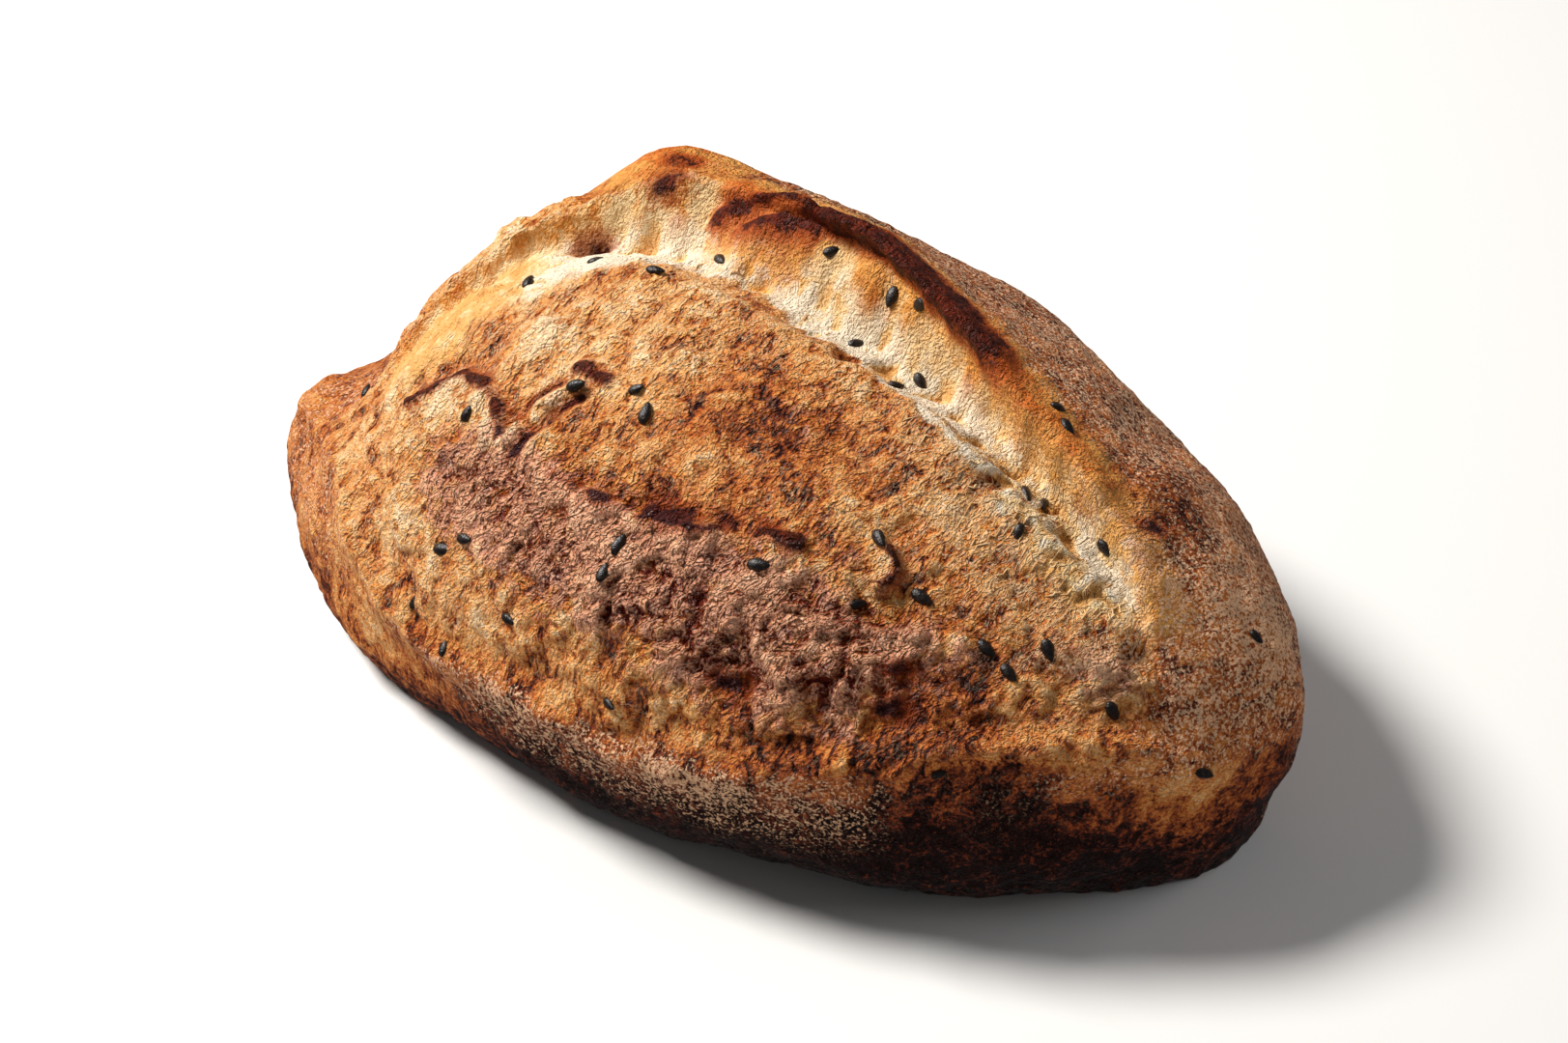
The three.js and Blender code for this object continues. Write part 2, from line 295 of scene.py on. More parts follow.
CUT_STATIONS = (
    Station(-90, -27, 0.2, 6, 13, 0.5),
    Station(-79, -14, 0.8, 6, 20, 3),
    Station(-66, 0, 1.4, 7, 25, 4.5),
    Station(-50, 13, 1.2, 9, 28, 6.5),
    Station(-31, 20, 1.5, 12, 30, 8),
    Station(-13, 20.5, 5.5, 14, 30, 8),
    Station(1, 19.5, 8.5, 15, 30, 8),
    Station(16, 16.5, 9, 14, 29, 7.5),
    Station(31, 10.5, 8, 10.5, 24, 7),
    Station(46, 4.5, 6, 7.5, 20, 6.5),
    Station(60, -1, 4.8, 6.5, 18, 6),
    Station(74, -7, 3.5, 6, 15, 4.5),
    Station(86, -14, 2, 5, 12, 2.5),
    Station(94, -25, 0, 5, 9, 0),
)


def spline(knots: Array, steps: int) -> Array:
    """A smooth curve through knots.

    Args:
        knots: One row of values for each knot.
        steps: How many rows the curve gets between two knots.

    Returns:
        The curve's rows, the last knot among them.
    """
    ends = np.vstack([2 * knots[0] - knots[1], knots, 2 * knots[-1] - knots[-2]])
    t = np.linspace(0.0, 1.0, steps, endpoint=False)[:, None]
    rows = []
    for a, b, c, d in zip(ends, ends[1:], ends[2:], ends[3:]):
        square = (2 * a - 5 * b + 4 * c - d) * t**2
        cube = (3 * b - a - 3 * c + d) * t**3
        rows.append(0.5 * (2 * b + (c - a) * t + square + cube))
    return np.vstack([*rows, knots[-1:]])


def headings(path: Array) -> Array:
    """The direction of a path in plan at each of its points, as unit vectors."""
    way = np.gradient(path, axis=0)
    return way / np.linalg.norm(way, axis=1, keepdims=True)


@dataclass
class Reach:
    """What the cut is like at its nearest place to each point."""

    behind: Array
    lip: Array
    wall: Array
    valley: Array
    depth: Array
    side: Array
    run: Array


@dataclass
class Cut:
    """The long cut: a rolled ear on its far edge, a wall below it, and a valley that ends softly."""

    stations: tuple[Station, ...] = CUT_STATIONS
    steps: int = 24
    back: float = 25.0
    overhang: float = 3.8
    roll: float = 3.4
    bead: float = 1.6
    full_lip: float = 9.0
    chunk: int = 20000
    line: Array = field(init=False)
    sides: Array = field(init=False)

    def __post_init__(self) -> None:
        """Traces the far edge and the side that it faces."""
        rows = np.array([[s.x, s.y, s.lip, s.wall, s.valley, s.depth] for s in self.stations])
        self.line = spline(rows, self.steps)
        way = headings(self.line[:, :2])
        self.sides = np.stack([-way[:, 1], way[:, 0]], axis=1)

    def nearest(self, plan: Array) -> Reach:
        """The cut at its nearest place to each point in plan.

        Args:
            plan: Points with x and y along the last axis.

        Returns:
            What the cut is like there.
        """
        flat = plan.reshape(-1, 2)
        index = np.empty(len(flat), dtype=np.int64)
        for start in range(0, len(flat), self.chunk):
            part = flat[start : start + self.chunk]
            gap = ((part[:, None, :] - self.line[None, :, :2]) ** 2).sum(axis=-1)
            index[start : start + self.chunk] = gap.argmin(axis=1)
        side = self.sides[index]
        away = flat - self.line[index, :2]
        behind = np.hypot(*away.T) * np.sign((away * side).sum(axis=1))
        shape = plan.shape[:-1]
        lip, wall, valley, depth = (self.line[index, k].reshape(shape) for k in range(2, 6))
        run = (index / (len(self.line) - 1)).reshape(shape)
        return Reach(behind.reshape(shape), lip, wall, valley, depth, side.reshape(*shape, 2), run)

    def rise(self, at: Reach) -> Array:
        """How far the lip stands up, or the valley lies down.

        Args:
            at: The cut at its nearest place to each point.

        Returns:
            Heights in millimetres.
        """
        into = -at.behind
        behind = at.lip * np.maximum(1.0 - at.behind / self.back, 0.0) ** 2
        roll = np.minimum(self.roll, at.lip)
        floor = 1.0 - smooth(into, at.wall, at.valley)
        drop = roll * smooth(into, 1.8, 5.6)
        drop = drop + (at.lip - roll) * smooth(into, np.minimum(4.0, 0.45 * at.wall), at.wall)
        drop = drop + at.depth * smooth(into, np.minimum(3.0, 0.3 * at.wall), at.wall) * floor
        bead = self.bead * at.lip / self.full_lip * bell(into - 1.2, 2.6)
        return bead + np.where(at.behind >= 0.0, behind, at.lip - drop)

    def lean(self, at: Reach) -> Array:
        """How far the ear leans over the valley, in plan, along the side that it faces.

        Args:
            at: The cut at its nearest place to each point.

        Returns:
            Distances in millimetres, below zero where it leans over the valley.
        """
        into = -at.behind
        forward = np.where(into < 2.2, bell(into - 2.2, 5.0), bell(into - 2.2, 2.0))
        tucked = bell(into - 6.2, 1.9)
        strength = self.overhang * at.lip / self.full_lip
        return -strength * (forward - 0.35 * tucked)


@dataclass(frozen=True)
class Mound:
    """A bell-shaped mound in plan, longer along one direction."""

    x: float
    y: float
    height: float
    along: float
    across: float
    turn: float

    def rise(self, points: Array) -> Array:
        """The mound's height at each point."""
        along, across = turned(points[..., 0] - self.x, points[..., 1] - self.y, self.turn)
        return self.height * np.exp(-((along / self.along) ** 2) - (across / self.across) ** 2)


@dataclass(frozen=True)
class Patch:
    """A soft-edged place on the crust, round a point in space, longer along one direction."""

    x: float
    y: float
    z: float
    along: float
    across: float
    amount: float
    turn: float = 0.0

    def spread(self, points: Array) -> Array:
        """The patch's amount at each point.

        Args:
            points: Points on the dough body.

        Returns:
            One number for each point.
        """
        dx, dy, dz = (points[..., k] - c for k, c in enumerate((self.x, self.y, self.z)))
        along, across = turned(dx, dy, math.radians(self.turn))
        off = (across**2 + dz**2) / self.across**2
        return self.amount * np.exp(-((along / self.along) ** 2) - off)


def together(patches: Iterable[Patch], points: Array) -> Array:
    """The amounts of several patches added up at each point."""
    return sum(patch.spread(points) for patch in patches)


@dataclass(frozen=True)
class Fold:
    """A torn fold in the crust: a thin raised line, its lower side higher than its upper one."""

    line: tuple[tuple[float, float], ...]
    height: float
    width: float
    step: float
    char: float
    worn: float = 0.5
    reach: float = 14.0
    lowest: float = 30.0

    def measure(self, points: Array) -> tuple[Array, Array]:
        """The fold's relief and its mask of scorch and painted shade at each point.

        Args:
            points: Points on the dough body.

        Returns:
            Heights in millimetres, and the mask of scorch and painted shade from 0 to 1.
        """
        path = spline(np.array(self.line, dtype=float), 10)
        way = headings(path)
        flat = points.reshape(-1, 3)
        relief, scorch_and_shade = np.zeros((2, len(flat)))
        low, high = path.min(axis=0) - self.reach, path.max(axis=0) + self.reach
        inside = np.all((flat[:, :2] > low) & (flat[:, :2] < high), axis=1)
        inside = inside & (flat[:, 2] > self.lowest)
        near = flat[inside]
        gap = near[:, None, :2] - path[None]
        index = (gap**2).sum(axis=-1).argmin(axis=1)
        away = near[:, :2] - path[index]
        side = away[:, 0] * way[index, 1] - away[:, 1] * way[index, 0]
        off = np.hypot(*away.T) * np.sign(side)
        off = off + 0.55 * ripple(near, 5.0, 31) + 0.3 * ripple(near, 2.0, 32)
        run = index / (len(path) - 1)
        ends = smooth(run, 0.0, 0.12) * (1.0 - smooth(run, 0.88, 1.0))
        uneven = smooth(ripple(near, 5.5, 33) + 0.5 * ripple(near, 2.2, 34), -0.35, 0.4)
        patchy = 1.0 - self.worn * (1.0 - uneven)
        crest = self.height * bell(off, self.width) * patchy
        ledge = np.where(off > 0.0, bell(off, 6.0), -bell(off, 4.0)) * smooth(np.abs(off), 0, 1)
        relief[inside] = ends * (crest + self.step * ledge)
        burnt_and_shaded = bell(off, self.width * 0.85) + 0.3 * bell(off, self.width * 3.0)
        scorch_and_shade[inside] = ends * self.char * burnt_and_shaded * patchy
        shape = points.shape[:-1]
        return relief.reshape(shape), scorch_and_shade.reshape(shape)


# ---- The baked surface: relief and colour fields together ----


# Places where the crust is browner or paler than round them.
BROWNED = (
    Patch(-73, -40, 48, 22, 14, -0.07, 0),
    Patch(-66, -8, 74, 26, 8, -0.3, 45),
    Patch(-50, -10, 82, 16, 8, -0.08, 30),
    Patch(-50, -38, 66, 22, 13, -0.12, 10),
    Patch(-45, -26, 77, 8, 3, 0.16, 20),
    Patch(16, -24, 79, 22, 10, 0.14, -15),
    Patch(86, -35, 46, 16, 12, 0.1, 0),
    Patch(60, -55, 44, 30, 10, 0.02, 20),
    Patch(70, -39, 54, 16, 9, -0.06, 15),
    Patch(15, -65, 43, 34, 6, 0.05, 8),
    Patch(42, -53, 53, 20, 8, 0.27, 12),
    Patch(-42, -14, 82, 20, 10, -0.12, 30),
    Patch(4, -30, 79, 10, 8, 0.08, 0),
    Patch(92, -19, 53, 12, 8, -0.14, 60),
    Patch(77, -14, 63, 10, 5, -0.16, -35),
    Patch(-31, -13, 85, 14, 9, 0.12, 0),
    Patch(80, 8, 62, 13, 6, 0.1, -40),
    Patch(-30, -64, 42, 36, 13, -0.08, 0),
    Patch(-36, -26, 79, 18, 11, -0.13, 20),
    Patch(68, -18, 68, 22, 8, -0.12, -35),
    Patch(-75, -55, 18, 26, 18, -0.1, -30),
    Patch(78, -8, 64, 12, 5, -0.22, -35),
    Patch(-38, 20, 88, 16, 12, -0.18, 30),
    Patch(-66, -60, 44, 26, 12, -0.12, 0),
    # Painted shade with the browning: the foot of the near flank, darkened nearly to black towards the
    # right tip.
    Patch(66, -54, 16, 34, 13, 0.4, 20),
    # Painted light with the tip's own orange: the foot of the right tip, made paler where the key lamp
    # leaves it in shade.
    Patch(102, -26, 20, 12, 12, -0.22, 20),
    Patch(60, -55, 31, 32, 8, 0.09, 18),
    Patch(20, -64, 14, 40, 12, 0.14, 10),
)
# Places with the dull reddish-purple bloom of a hot bake.
DUSKY = (
    Patch(-43, -50, 60, 19, 10, 0.85, 10),
    Patch(-25, -55, 60, 18, 11, 0.85, 0),
    Patch(-8, -57, 58, 20, 11, 0.85, 0),
    Patch(12, -56, 60, 20, 10, 0.85, 5),
    Patch(35, -52, 59, 20, 11, 0.8, 10),
    Patch(53, -47, 56, 12, 8, 0.4, 25),
    Patch(30, -61, 48, 28, 8, 0.65, 10),
    Patch(16, -25, 79, 10, 5, 0.45, -20),
    Patch(84, -32, 51, 10, 4, 0.7, 28),
    Patch(52, -17, 73, 9, 4, 0.3, -30),
    Patch(78, -5, 64, 8, 4, 0.6, -60),
    Patch(4, 36, 78, 22, 9, 0.35, 0),
)
# Places with more or less flour than round them.
FLOURED = (
    Patch(82, -30, 54, 11, 3, 0.95, 28),
    Patch(80, 8, 62, 13, 6, -0.2, -40),
    Patch(-56, -62, 16, 26, 14, -0.15, -12),
    Patch(99, -3, 50, 12, 10, 0.3, 80),
)
# Small dark spots: place and size of each; scorched, except those in the dents above the rim and in
# the cave, which are painted shade.
SPOTS = (
    (-38, 21, 86, 2.9),
    (-38, 15, 88, 3.2),
    (-6, -2, 88, 1.6),
    (23, -64, 47, 3.4),
    (-49, 3.5, 85, 3.4),
    (2, -48.2, 68, 2.0),
    (12, -46, 69, 2.8),
    (24, -43.5, 69, 1.5),
    (52, -55, 48, 3.0),
    (51, -50, 53, 2.4),
    (79, -5, 64, 2.2),
)
# The web of pulled strands, the lobe at the ear's far end, and the pale end of the valley.
WEB = Patch(66, -20, 68, 30, 14, 1.0, -32)
LOBE = Patch(-44, 27, 88, 20, 13, 1.2, 36)
VALLEY_END = Patch(73, -14, 65, 17, 6, 1.0, -18)


@dataclass
class Baked:
    """The baked surface over some points of the disc."""

    place: Array
    dough: Array
    fields: dict[str, Array]


@dataclass
class Site:
    """The points of the dough that are baked, and where each lies on the loaf."""

    body: Array
    at: Reach
    above: Array
    near: Array
    top: Array
    into: Array = field(init=False)
    x: Array = field(init=False)
    y: Array = field(init=False)
    z: Array = field(init=False)

    def __post_init__(self) -> None:
        """Keeps the coordinates apart, and how far each point lies past the cut's far edge."""
        self.x, self.y, self.z = (self.body[..., k] for k in range(3))
        self.into = -self.at.behind


@dataclass
class Baking:
    """Everything that the oven did to the dough, as relief and fields for the finishes, with some
    painted shade.
    """

    dough: Dough = field(default_factory=Dough)
    cut: Cut = field(default_factory=Cut)
    mounds: tuple[Mound, ...] = (
        Mound(-43, 27, 8.0, 14, 10, 0.64),
        Mound(-15, 10, 4.0, 8, 4, 0.8),
    )
    swellings: tuple[Patch, ...] = (
        Patch(-106, -17, 25, 14, 14, 5.0),
        Patch(-95, -10, 52, 20, 20, -4.5),
        Patch(22, -65, 46, 9, 6, -2.6, 10),
        Patch(43, -60, 46, 10, 6, -2.2, 15),
        Patch(-4, -66, 46, 8, 5, -1.4),
        Patch(-49, 4.0, 85, 5, 2.6, -4.0, 35),
        Patch(-8, 21, 88, 9, 6, -2.2, 0),
        Patch(-36, 8, 90, 7, 4.0, -2.2, 20),
        Patch(15, -6, 84, 2.2, 1.6, -1.8, 60),
        Patch(64, -30, 62, 18, 5, -0.9, -20),
    )
    pits: tuple[Patch, ...] = (
        Patch(14, -5, 85, 2.4, 1.8, 2.0, 60),
        Patch(24, -4, 83, 2.0, 1.5, 1.6, 30),
        Patch(30, -6, 80, 1.6, 1.3, 1.2, 0),
        Patch(51, -15, 74, 2.4, 1.8, 1.8, 40),
        Patch(61, -19, 69, 1.6, 1.2, 0.9, 80),
        Patch(57, -13, 72, 1.6, 1.2, 1.2, 0),
        Patch(-6, 0, 88, 2.6, 1.5, 0.8, 10),
        Patch(-33, 4, 91, 2.4, 1.6, 1.2, 0),
        Patch(3, 6, 87, 1.6, 1.3, 1.0, 0),
    )
    lump_sizes: tuple[tuple[float, float, int], ...] = ((30, 1.3, 1), (14, 0.8, 2), (8, 0.35, 5))
    folds: tuple[Fold, ...] = (
        Fold(((-88, -22), (-79, -11), (-70, -1), (-62, 7), (-55, 13)), 1.8, 3.6, 0.5, 0.0),
        Fold(((-28, 12), (-23, 15), (-17, 17.5), (-11, 19.5), (-4, 20)), 2.2, 1.7, 0.8, 1.4, 0.35),
        Fold(((-22, 12), (-16, 13), (-9, 14), (-2, 13.5)), 0.9, 1.5, 0.5, 1.2, 0.6),
        Fold(
            ((-27, -47.5), (-16, -49.5), (-4, -50.2), (6, -48.6), (16, -46)), 1.4, 0.9, 0.8, 0.8, 0.7
        ),
        Fold(((-5, -49), (1, -48.3), (7, -47)), 1.4, 1.4, 0.5, 1.7, 0.3),
        Fold(((17, -45.5), (22, -44), (28, -42.8)), 1.3, 1.1, 0.6, 1.5, 0.5),
        Fold(((-68, -37), (-62, -36), (-56, -33), (-49, -35), (-44, -38)), 1.6, 1.1, 1.0, 1.7),
        Fold(((-46, -36), (-41, -40), (-38, -45)), 1.2, 1.0, 0.7, 1.1),
        Fold(((-26, -32), (-32, -38), (-38, -46)), 1.9, 1.3, 0.0, 0.0),
        # The next two sunken lines flank that strand; they are coloured as scorch, which is painted
        # shade in the grooves.
        Fold(((-24, -34), (-30, -40), (-36, -48)), -1.1, 0.9, 0.0, 1.1),
        Fold(((-28, -30), (-34, -36), (-40, -44)), -0.9, 0.8, 0.0, 0.7),
        Fold(((-31, -30), (-26, -31), (-21, -32)), 1.2, 1.2, 0.6, 1.3),
        Fold(((38, -35), (42, -36.5), (44, -40), (42, -43)), 2.2, 1.3, 0.6, 0.8, 0.8),
        Fold(((70, -33), (79, -31), (92, -25)), 0.9, 1.6, 0.3, 0.3),
        Fold(((24, -52), (38, -50), (52, -44), (63, -38)), 0.8, 1.5, 0.9, 0.3),
        Fold(((-20, -20), (-9, -17), (0, -18)), 0.7, 1.2, 0.3, 0.12),
        Fold(((-50, -24), (-42, -22), (-33, -24)), 0.8, 1.2, 0.4, 0.3),
        Fold(((-3, -28), (5, -25), (12, -26)), 0.6, 1.1, 0.3, 0.15),
    )
    rim_width: float = 2.4
    rim_height: float = 1.9
    hollow_rise: float = 7.5
    hollow_width: float = 4.5
    hollow_depth: float = 1.3
    cut_length: float = 215.0
    base_edge: float = 1.0 - 1e-6
    least_height: float = 0.4
    spot_scorch_and_shade: float = 0.9
    spot_pull: float = 1.6
    spot_turn: float = 20.0

    def rim_level(self, cos: Array) -> Array:
        """The height at which the rim of the burst runs, by direction from the crown.

        Args:
            cos: The cosine of each direction, 1 towards the right tip.

        Returns:
            One height for each.
        """
        right = 15 * smooth(cos, 0.05, 0.72) - 9 * smooth(cos, 0.78, 1.0)
        left = 14 * smooth(-cos, 0.42, 0.78) - 10 * smooth(-cos, 0.82, 1.0)
        return 28 + right + left

    def bake(self, u: Array, v: Array) -> Baked:
        """The baked surface over points of the disc.

        Args:
            u: First coordinate on the unit disc.
            v: Second coordinate on the unit disc.

        Returns:
            Places in millimetres, with the fields that the finishes read.
        """
        body = self.dough.point(u, v)
        facing = self.dough.facing(u, v)
        radius = np.hypot(u, v) + 1e-9
        site = self.locate(body, radius, u / radius, v / radius)
        zone = self.zones(site)

        swell = site.near * self.rim(site) + together(self.swellings, body) - together(self.pits, body)
        swell = swell + sum(high * lumps(body, size, salt) for size, high, salt in self.lump_sizes)
        fine, scorch_and_shade = self.fine_relief(site, zone)
        place = body + facing * (swell + fine)[..., None]
        lift = self.cut.rise(site.at) + sum(mound.rise(body) for mound in self.mounds)
        place[..., 2] += site.top * lift
        place[..., :2] += site.at.side * (site.top * self.cut.lean(site.at))[..., None]
        lowest = self.least_height * site.z
        place[..., 2] = np.where(radius > self.base_edge, 0.0, np.maximum(place[..., 2], lowest))
        return Baked(place, body, self.colour_fields(site, zone, fine, scorch_and_shade))

    def locate(self, body: Array, radius: Array, cos: Array, sin: Array) -> Site:
        """Where points lie against the cut, the rim of the burst and the side that is near.

        Args:
            body: The points on the smooth dough.
            radius: How far out on the disc they are.
            cos: Their direction on the disc, along the loaf.
            sin: Their direction on the disc, towards the far side.

        Returns:
            The points with these measures.
        """
        top = 1.0 - smooth(radius / self.dough.widest, 0.9, 1.0)
        ragged = 0.8 * ripple(body, 6.0, 11) + 0.3 * ripple(body, 2.4, 12)
        at = self.cut.nearest(body[..., :2])
        at.behind = at.behind + ragged * top * smooth(at.lip, 0.0, 1.5)
        above = body[..., 2] - self.rim_level(cos)
        above = above + 1.5 * ripple(body, 15, 13) + 0.6 * ripple(body, 5, 14)
        near = (1.0 - smooth(sin, -0.15, 0.25)) * (1.0 - smooth(cos, 0.9, 1.02))
        return Site(body, at, above, near, top)

    def zones(self, site: Site) -> dict[str, Array]:
        """Soft masks of the crust's regions.

        Args:
            site: The points, with where they lie.

        Returns:
            Masks from 0 to 1 by the region's name; the curtain's runs below zero too.
        """
        body, at, into, x = site.body, site.at, site.into, site.x
        lower = 2.5 * smooth(x, 25, 55)
        burst = smooth(into, 0.0, 2.5) * smooth(site.above + lower, -0.5 - lower, 1.5) * site.top**0.2
        between_tips = smooth(x, -101, -92) * (1.0 - smooth(x, 84, 100))
        burst = burst * (1.0 - (1.0 - between_tips) * 0.85)

        uneven = 4.0 * cloudy(body, 12, 21) + 2.6 * ripple(grain(body, 88, 3.0), 3.0, 22)
        left = 1.0 - smooth(x, -42, -18)
        opened = smooth(at.depth, 0.5, 3.0)
        start = at.wall * 0.5 + 0.5 * uneven
        finish = at.wall + 4.8 + 8.0 * left + 5.0 * smooth(x, 5, 45) + uneven
        soft = 2.5 + 9.0 * left + 4.0 * smooth(x, 30, 55)
        crumb = smooth(into, start, start + 5.0) * (1.0 - smooth(into, finish - soft, finish + soft))
        crumb = crumb * opened * site.top * (1.0 - 0.6 * smooth(x, 66, 86))

        wall = smooth(into, 1.5, 4.0) * (1.0 - smooth(into, at.wall * 0.7, at.wall * 1.15)) * opened
        drape = np.stack([at.run * self.cut_length, into * 0.22, 0.0 * into], axis=-1)
        curtain = ripple(drape, 8.0, 73) + 0.5 * ripple(drape, 3.5, 74)
        return {
            "burst": burst,
            "crumb": crumb * burst,
            "wall": wall * burst,
            "curtain": curtain * wall * burst,
            "web": np.clip(WEB.spread(body), 0, 1) * burst,
            "dusk": np.clip(together(DUSKY, body) * (1.0 - crumb), 0, 1),
        }

    def rim(self, site: Site) -> Array:
        """The crisp crest along the near edge of the burst, with dents just above it.

        Args:
            site: The points, with where they lie.

        Returns:
            Heights in millimetres.
        """
        above, x = site.above, site.x
        wander = 1.0 + 0.55 * ripple(site.body, 9.0, 41)
        crest = np.where(above > 0.0, bell(above, self.rim_width), bell(above, self.rim_width * 2.0))
        dents = 0.5 + 0.9 * smooth(ripple(site.body, 16.0, 42), -0.5, 0.5)
        hollow = self.hollow_depth * dents * bell(above - self.hollow_rise, self.hollow_width)
        hollow = hollow * (1.0 - 0.7 * smooth(x, 34, 60)) * (0.6 + 0.4 * smooth(x, -30, 5))
        return self.rim_height * wander * crest - hollow

    def fine_relief(self, site: Site, zone: dict[str, Array]) -> tuple[Array, Array]:
        """Wrinkles, stretch marks, pores and torn folds, with the folds' scorch and painted shade.

        Args:
            site: The points, with where they lie.
            zone: The masks of the crust's regions there.

        Returns:
            Heights in millimetres, and the folds' mask of scorch and painted shade from 0 to 1.
        """
        body = site.body
        warp = np.stack([ripple(body, 7.0, 50 + k) for k in range(3)], axis=-1)
        bent = body + 1.8 * warp
        burst, crumb, web, dusk = (zone[name] for name in ("burst", "crumb", "web", "dusk"))
        crust = burst * (1.0 - crumb)
        marks = puffs(grain(bent, 84, 2.2), 9.0, 61) - 0.6
        leather = puffs(grain(bent, 56, 1.5), 3.6, 62) - 0.6
        leather = leather + 0.8 * (ridges(grain(bent, 46, 1.5), 2.7, 63) - 0.5)
        flakes = smooth(ripple(grain(bent, 70, 1.5), 8.0, 75), -0.05, 0.12) - 0.5
        calm = 1.0 - 0.55 * smooth(site.x, 30, 60)
        fine = 0.55 * calm * marks * (1.0 - 0.75 * dusk) + (0.42 + 0.5 * dusk) * leather
        fine = crust * (fine + 0.3 * cloudy(bent, 5.0, 64, 2) + (0.5 + 0.4 * dusk) * flakes)
        threads = ridges(grain(bent, 68, 4.0), 2.4, 65) - 0.4
        fine = fine + 0.6 * np.maximum(web, 0.35 * crumb) * threads
        pores = smooth(ripple(grain(bent, 75, 1.6), 3.4, 66), 0.1, 0.5)
        fine = fine - crumb * (1.4 * pores - 0.6 * cloudy(grain(bent, 80, 1.6), 6.0, 67, 2))
        drips = 0.6 * ripple(grain(bent, 80, 1.8), 5.0, 68) + ripple(bent, 3.0, 72)
        fine = fine + 0.35 * zone["wall"] * drips + 1.1 * zone["curtain"]
        fine = fine + (1.0 - burst) * (0.5 * cloudy(bent, 5.5, 69, 2) + 0.22 * ripple(body, 2.0, 70))
        scorch_and_shade = np.zeros(body.shape[:-1])
        for fold in self.folds:
            relief, mask = fold.measure(body)
            fine = fine + relief
            scorch_and_shade = np.maximum(scorch_and_shade, mask * burst)
        return fine, scorch_and_shade

    def burst_bake(self, site: Site, dusk: Array) -> Array:
        """How brown the burst is: paler beside the valley, browner beside the rim and in the dusk.

        Args:
            site: The points, with where they lie.
            dusk: How dusky the crust is there.

        Returns:
            One number for each point, 0 for cream and 1 for scorched.
        """
        valley = site.at.valley
        bake = 0.375 - 0.09 * (1.0 - smooth(site.into, valley, valley + 20))
        bake = bake + 0.08 * (1.0 - smooth(site.above, 2.0, 22.0)) + 0.12 * dusk
        return bake + 0.10 * cloudy(site.body, 22, 81) + 0.07 * cloudy(site.body, 6.0, 82)

    def skin_bake(self, site: Site, streaks: Array) -> Array:
        """How brown the smooth skin is: darker low down, as browning and painted shade, and nearly
        gold at the left.

        Args:
            site: The points, with where they lie.
            streaks: Noise that runs down the flank.

        Returns:
            One number for each point, 0 for cream and 1 for scorched.
        """
        x, y, z = site.x, site.y, site.z
        low = 1.0 - smooth(z, 2.0, 36.0)
        near_side = 1.0 - smooth(y, -35.0, 0.0)
        left = (1.0 - smooth(x, -74, -10)) * (0.6 + 0.4 * smooth(x, -90, -60))
        left = left * smooth(z, -6, 20) * (1.0 - 0.5 * smooth(z, 22, 40))
        below_rim = smooth(x, 24, 50) * bell(site.above + 4.0, 9.0)
        # Darker low down: browning, with painted shade towards the floor.
        bake = 0.70 + 0.10 * cloudy(site.body, 24, 83) + 0.2 * low
        bake = bake + (0.07 * smooth(x, -55, -10) + 0.12 * streaks - 0.2 * below_rim) * near_side
        return bake - 0.42 * left - 0.06 * smooth(x, 20.0, 80.0) * (1.0 - low)

    def flour(self, site: Site, burst: Array, streaks: Array) -> Array:
        """Where flour lies: on the far side, the right tip and the near flank, and in patches.

        Args:
            site: The points, with where they lie.
            burst: The mask of the burst there.
            streaks: Noise that runs down the flank.

        Returns:
            One number for each point, 0 for none and 1 for much.
        """
        x, y, z, behind = site.x, site.y, site.z, site.at.behind
        lobe = smooth(z, 52.0, 78.0) * (1.0 - smooth(x, -34.0, -4.0))
        far = 0.58 * smooth(y, -12.0, 12.0) * (1.0 - 0.9 * lobe)
        far = far * (0.5 + 0.5 * smooth(x, -90.0, -20.0)) * smooth(behind, 1, 9)
        tip = 0.6 * smooth(x, 66.0, 92.0) * smooth(z, 26.0, 46.0)
        flank = 0.75 * (0.35 + 0.65 * smooth(x, -65.0, -20.0)) * (1.0 - 0.9 * smooth(x, 30.0, 62.0))
        flank = flank * (1.0 - smooth(y, -20, 5)) * (0.1 + 0.9 * smooth(z, 10.0, 32.0))
        flank = flank * (1.0 + 0.4 * streaks)
        dusted = (1.0 - burst) * np.maximum(np.maximum(far, tip), flank)
        return dusted * (0.9 + 0.45 * cloudy(site.body, 18, 85)) + together(FLOURED, site.body)

    def ear_char(self, site: Site) -> Array:
        """How scorched the ear's crest is.

        Args:
            site: The points, with where they lie.

        Returns:
            One number for each point, 0 for none and 1 for black.
        """
        x, into = site.x, site.into
        along = smooth(x, -16, -6) * (1.0 - smooth(x, 38, 50) * 0.85) * smooth(site.at.lip, 1.0, 3.0)
        uneven = 0.85 + 0.45 * cloudy(site.body, 8.0, 84)
        upper = -5.0 + 2.5 * (1.0 - smooth(x, -4.0, 14.0))
        lower = 8.0 - 1.5 * smooth(x, 5.0, 20.0) - 2.0 * smooth(x, 20.0, 80.0)
        band = smooth(into, upper, upper + 3.0) * (1.0 - smooth(into, lower - 4.0, lower))
        return along * uneven * band * 1.2

    def rust(self, site: Site) -> Array:
        """Where the crust is rust-coloured: just below the ear's crest, and on the lobe.

        Args:
            site: The points, with where they lie.

        Returns:
            One number for each point, 0 for none and 1 for full.
        """
        x, into, at = site.x, site.into, site.at
        under = bell(into - 1.0, 2.5 + 0.32 * at.wall + 9.0 * (1.0 - smooth(x, -9.0, 1.0)))
        rust = smooth(at.lip, 0.3, 1.5) * np.where(into > 1.0, under, bell(into - 1.0, 7.0))
        rust = rust * smooth(x, -34, -22) * (1.0 - 0.35 * smooth(x, 48.0, 70.0))
        return np.maximum(rust, LOBE.spread(site.body) * (into < 2.5))

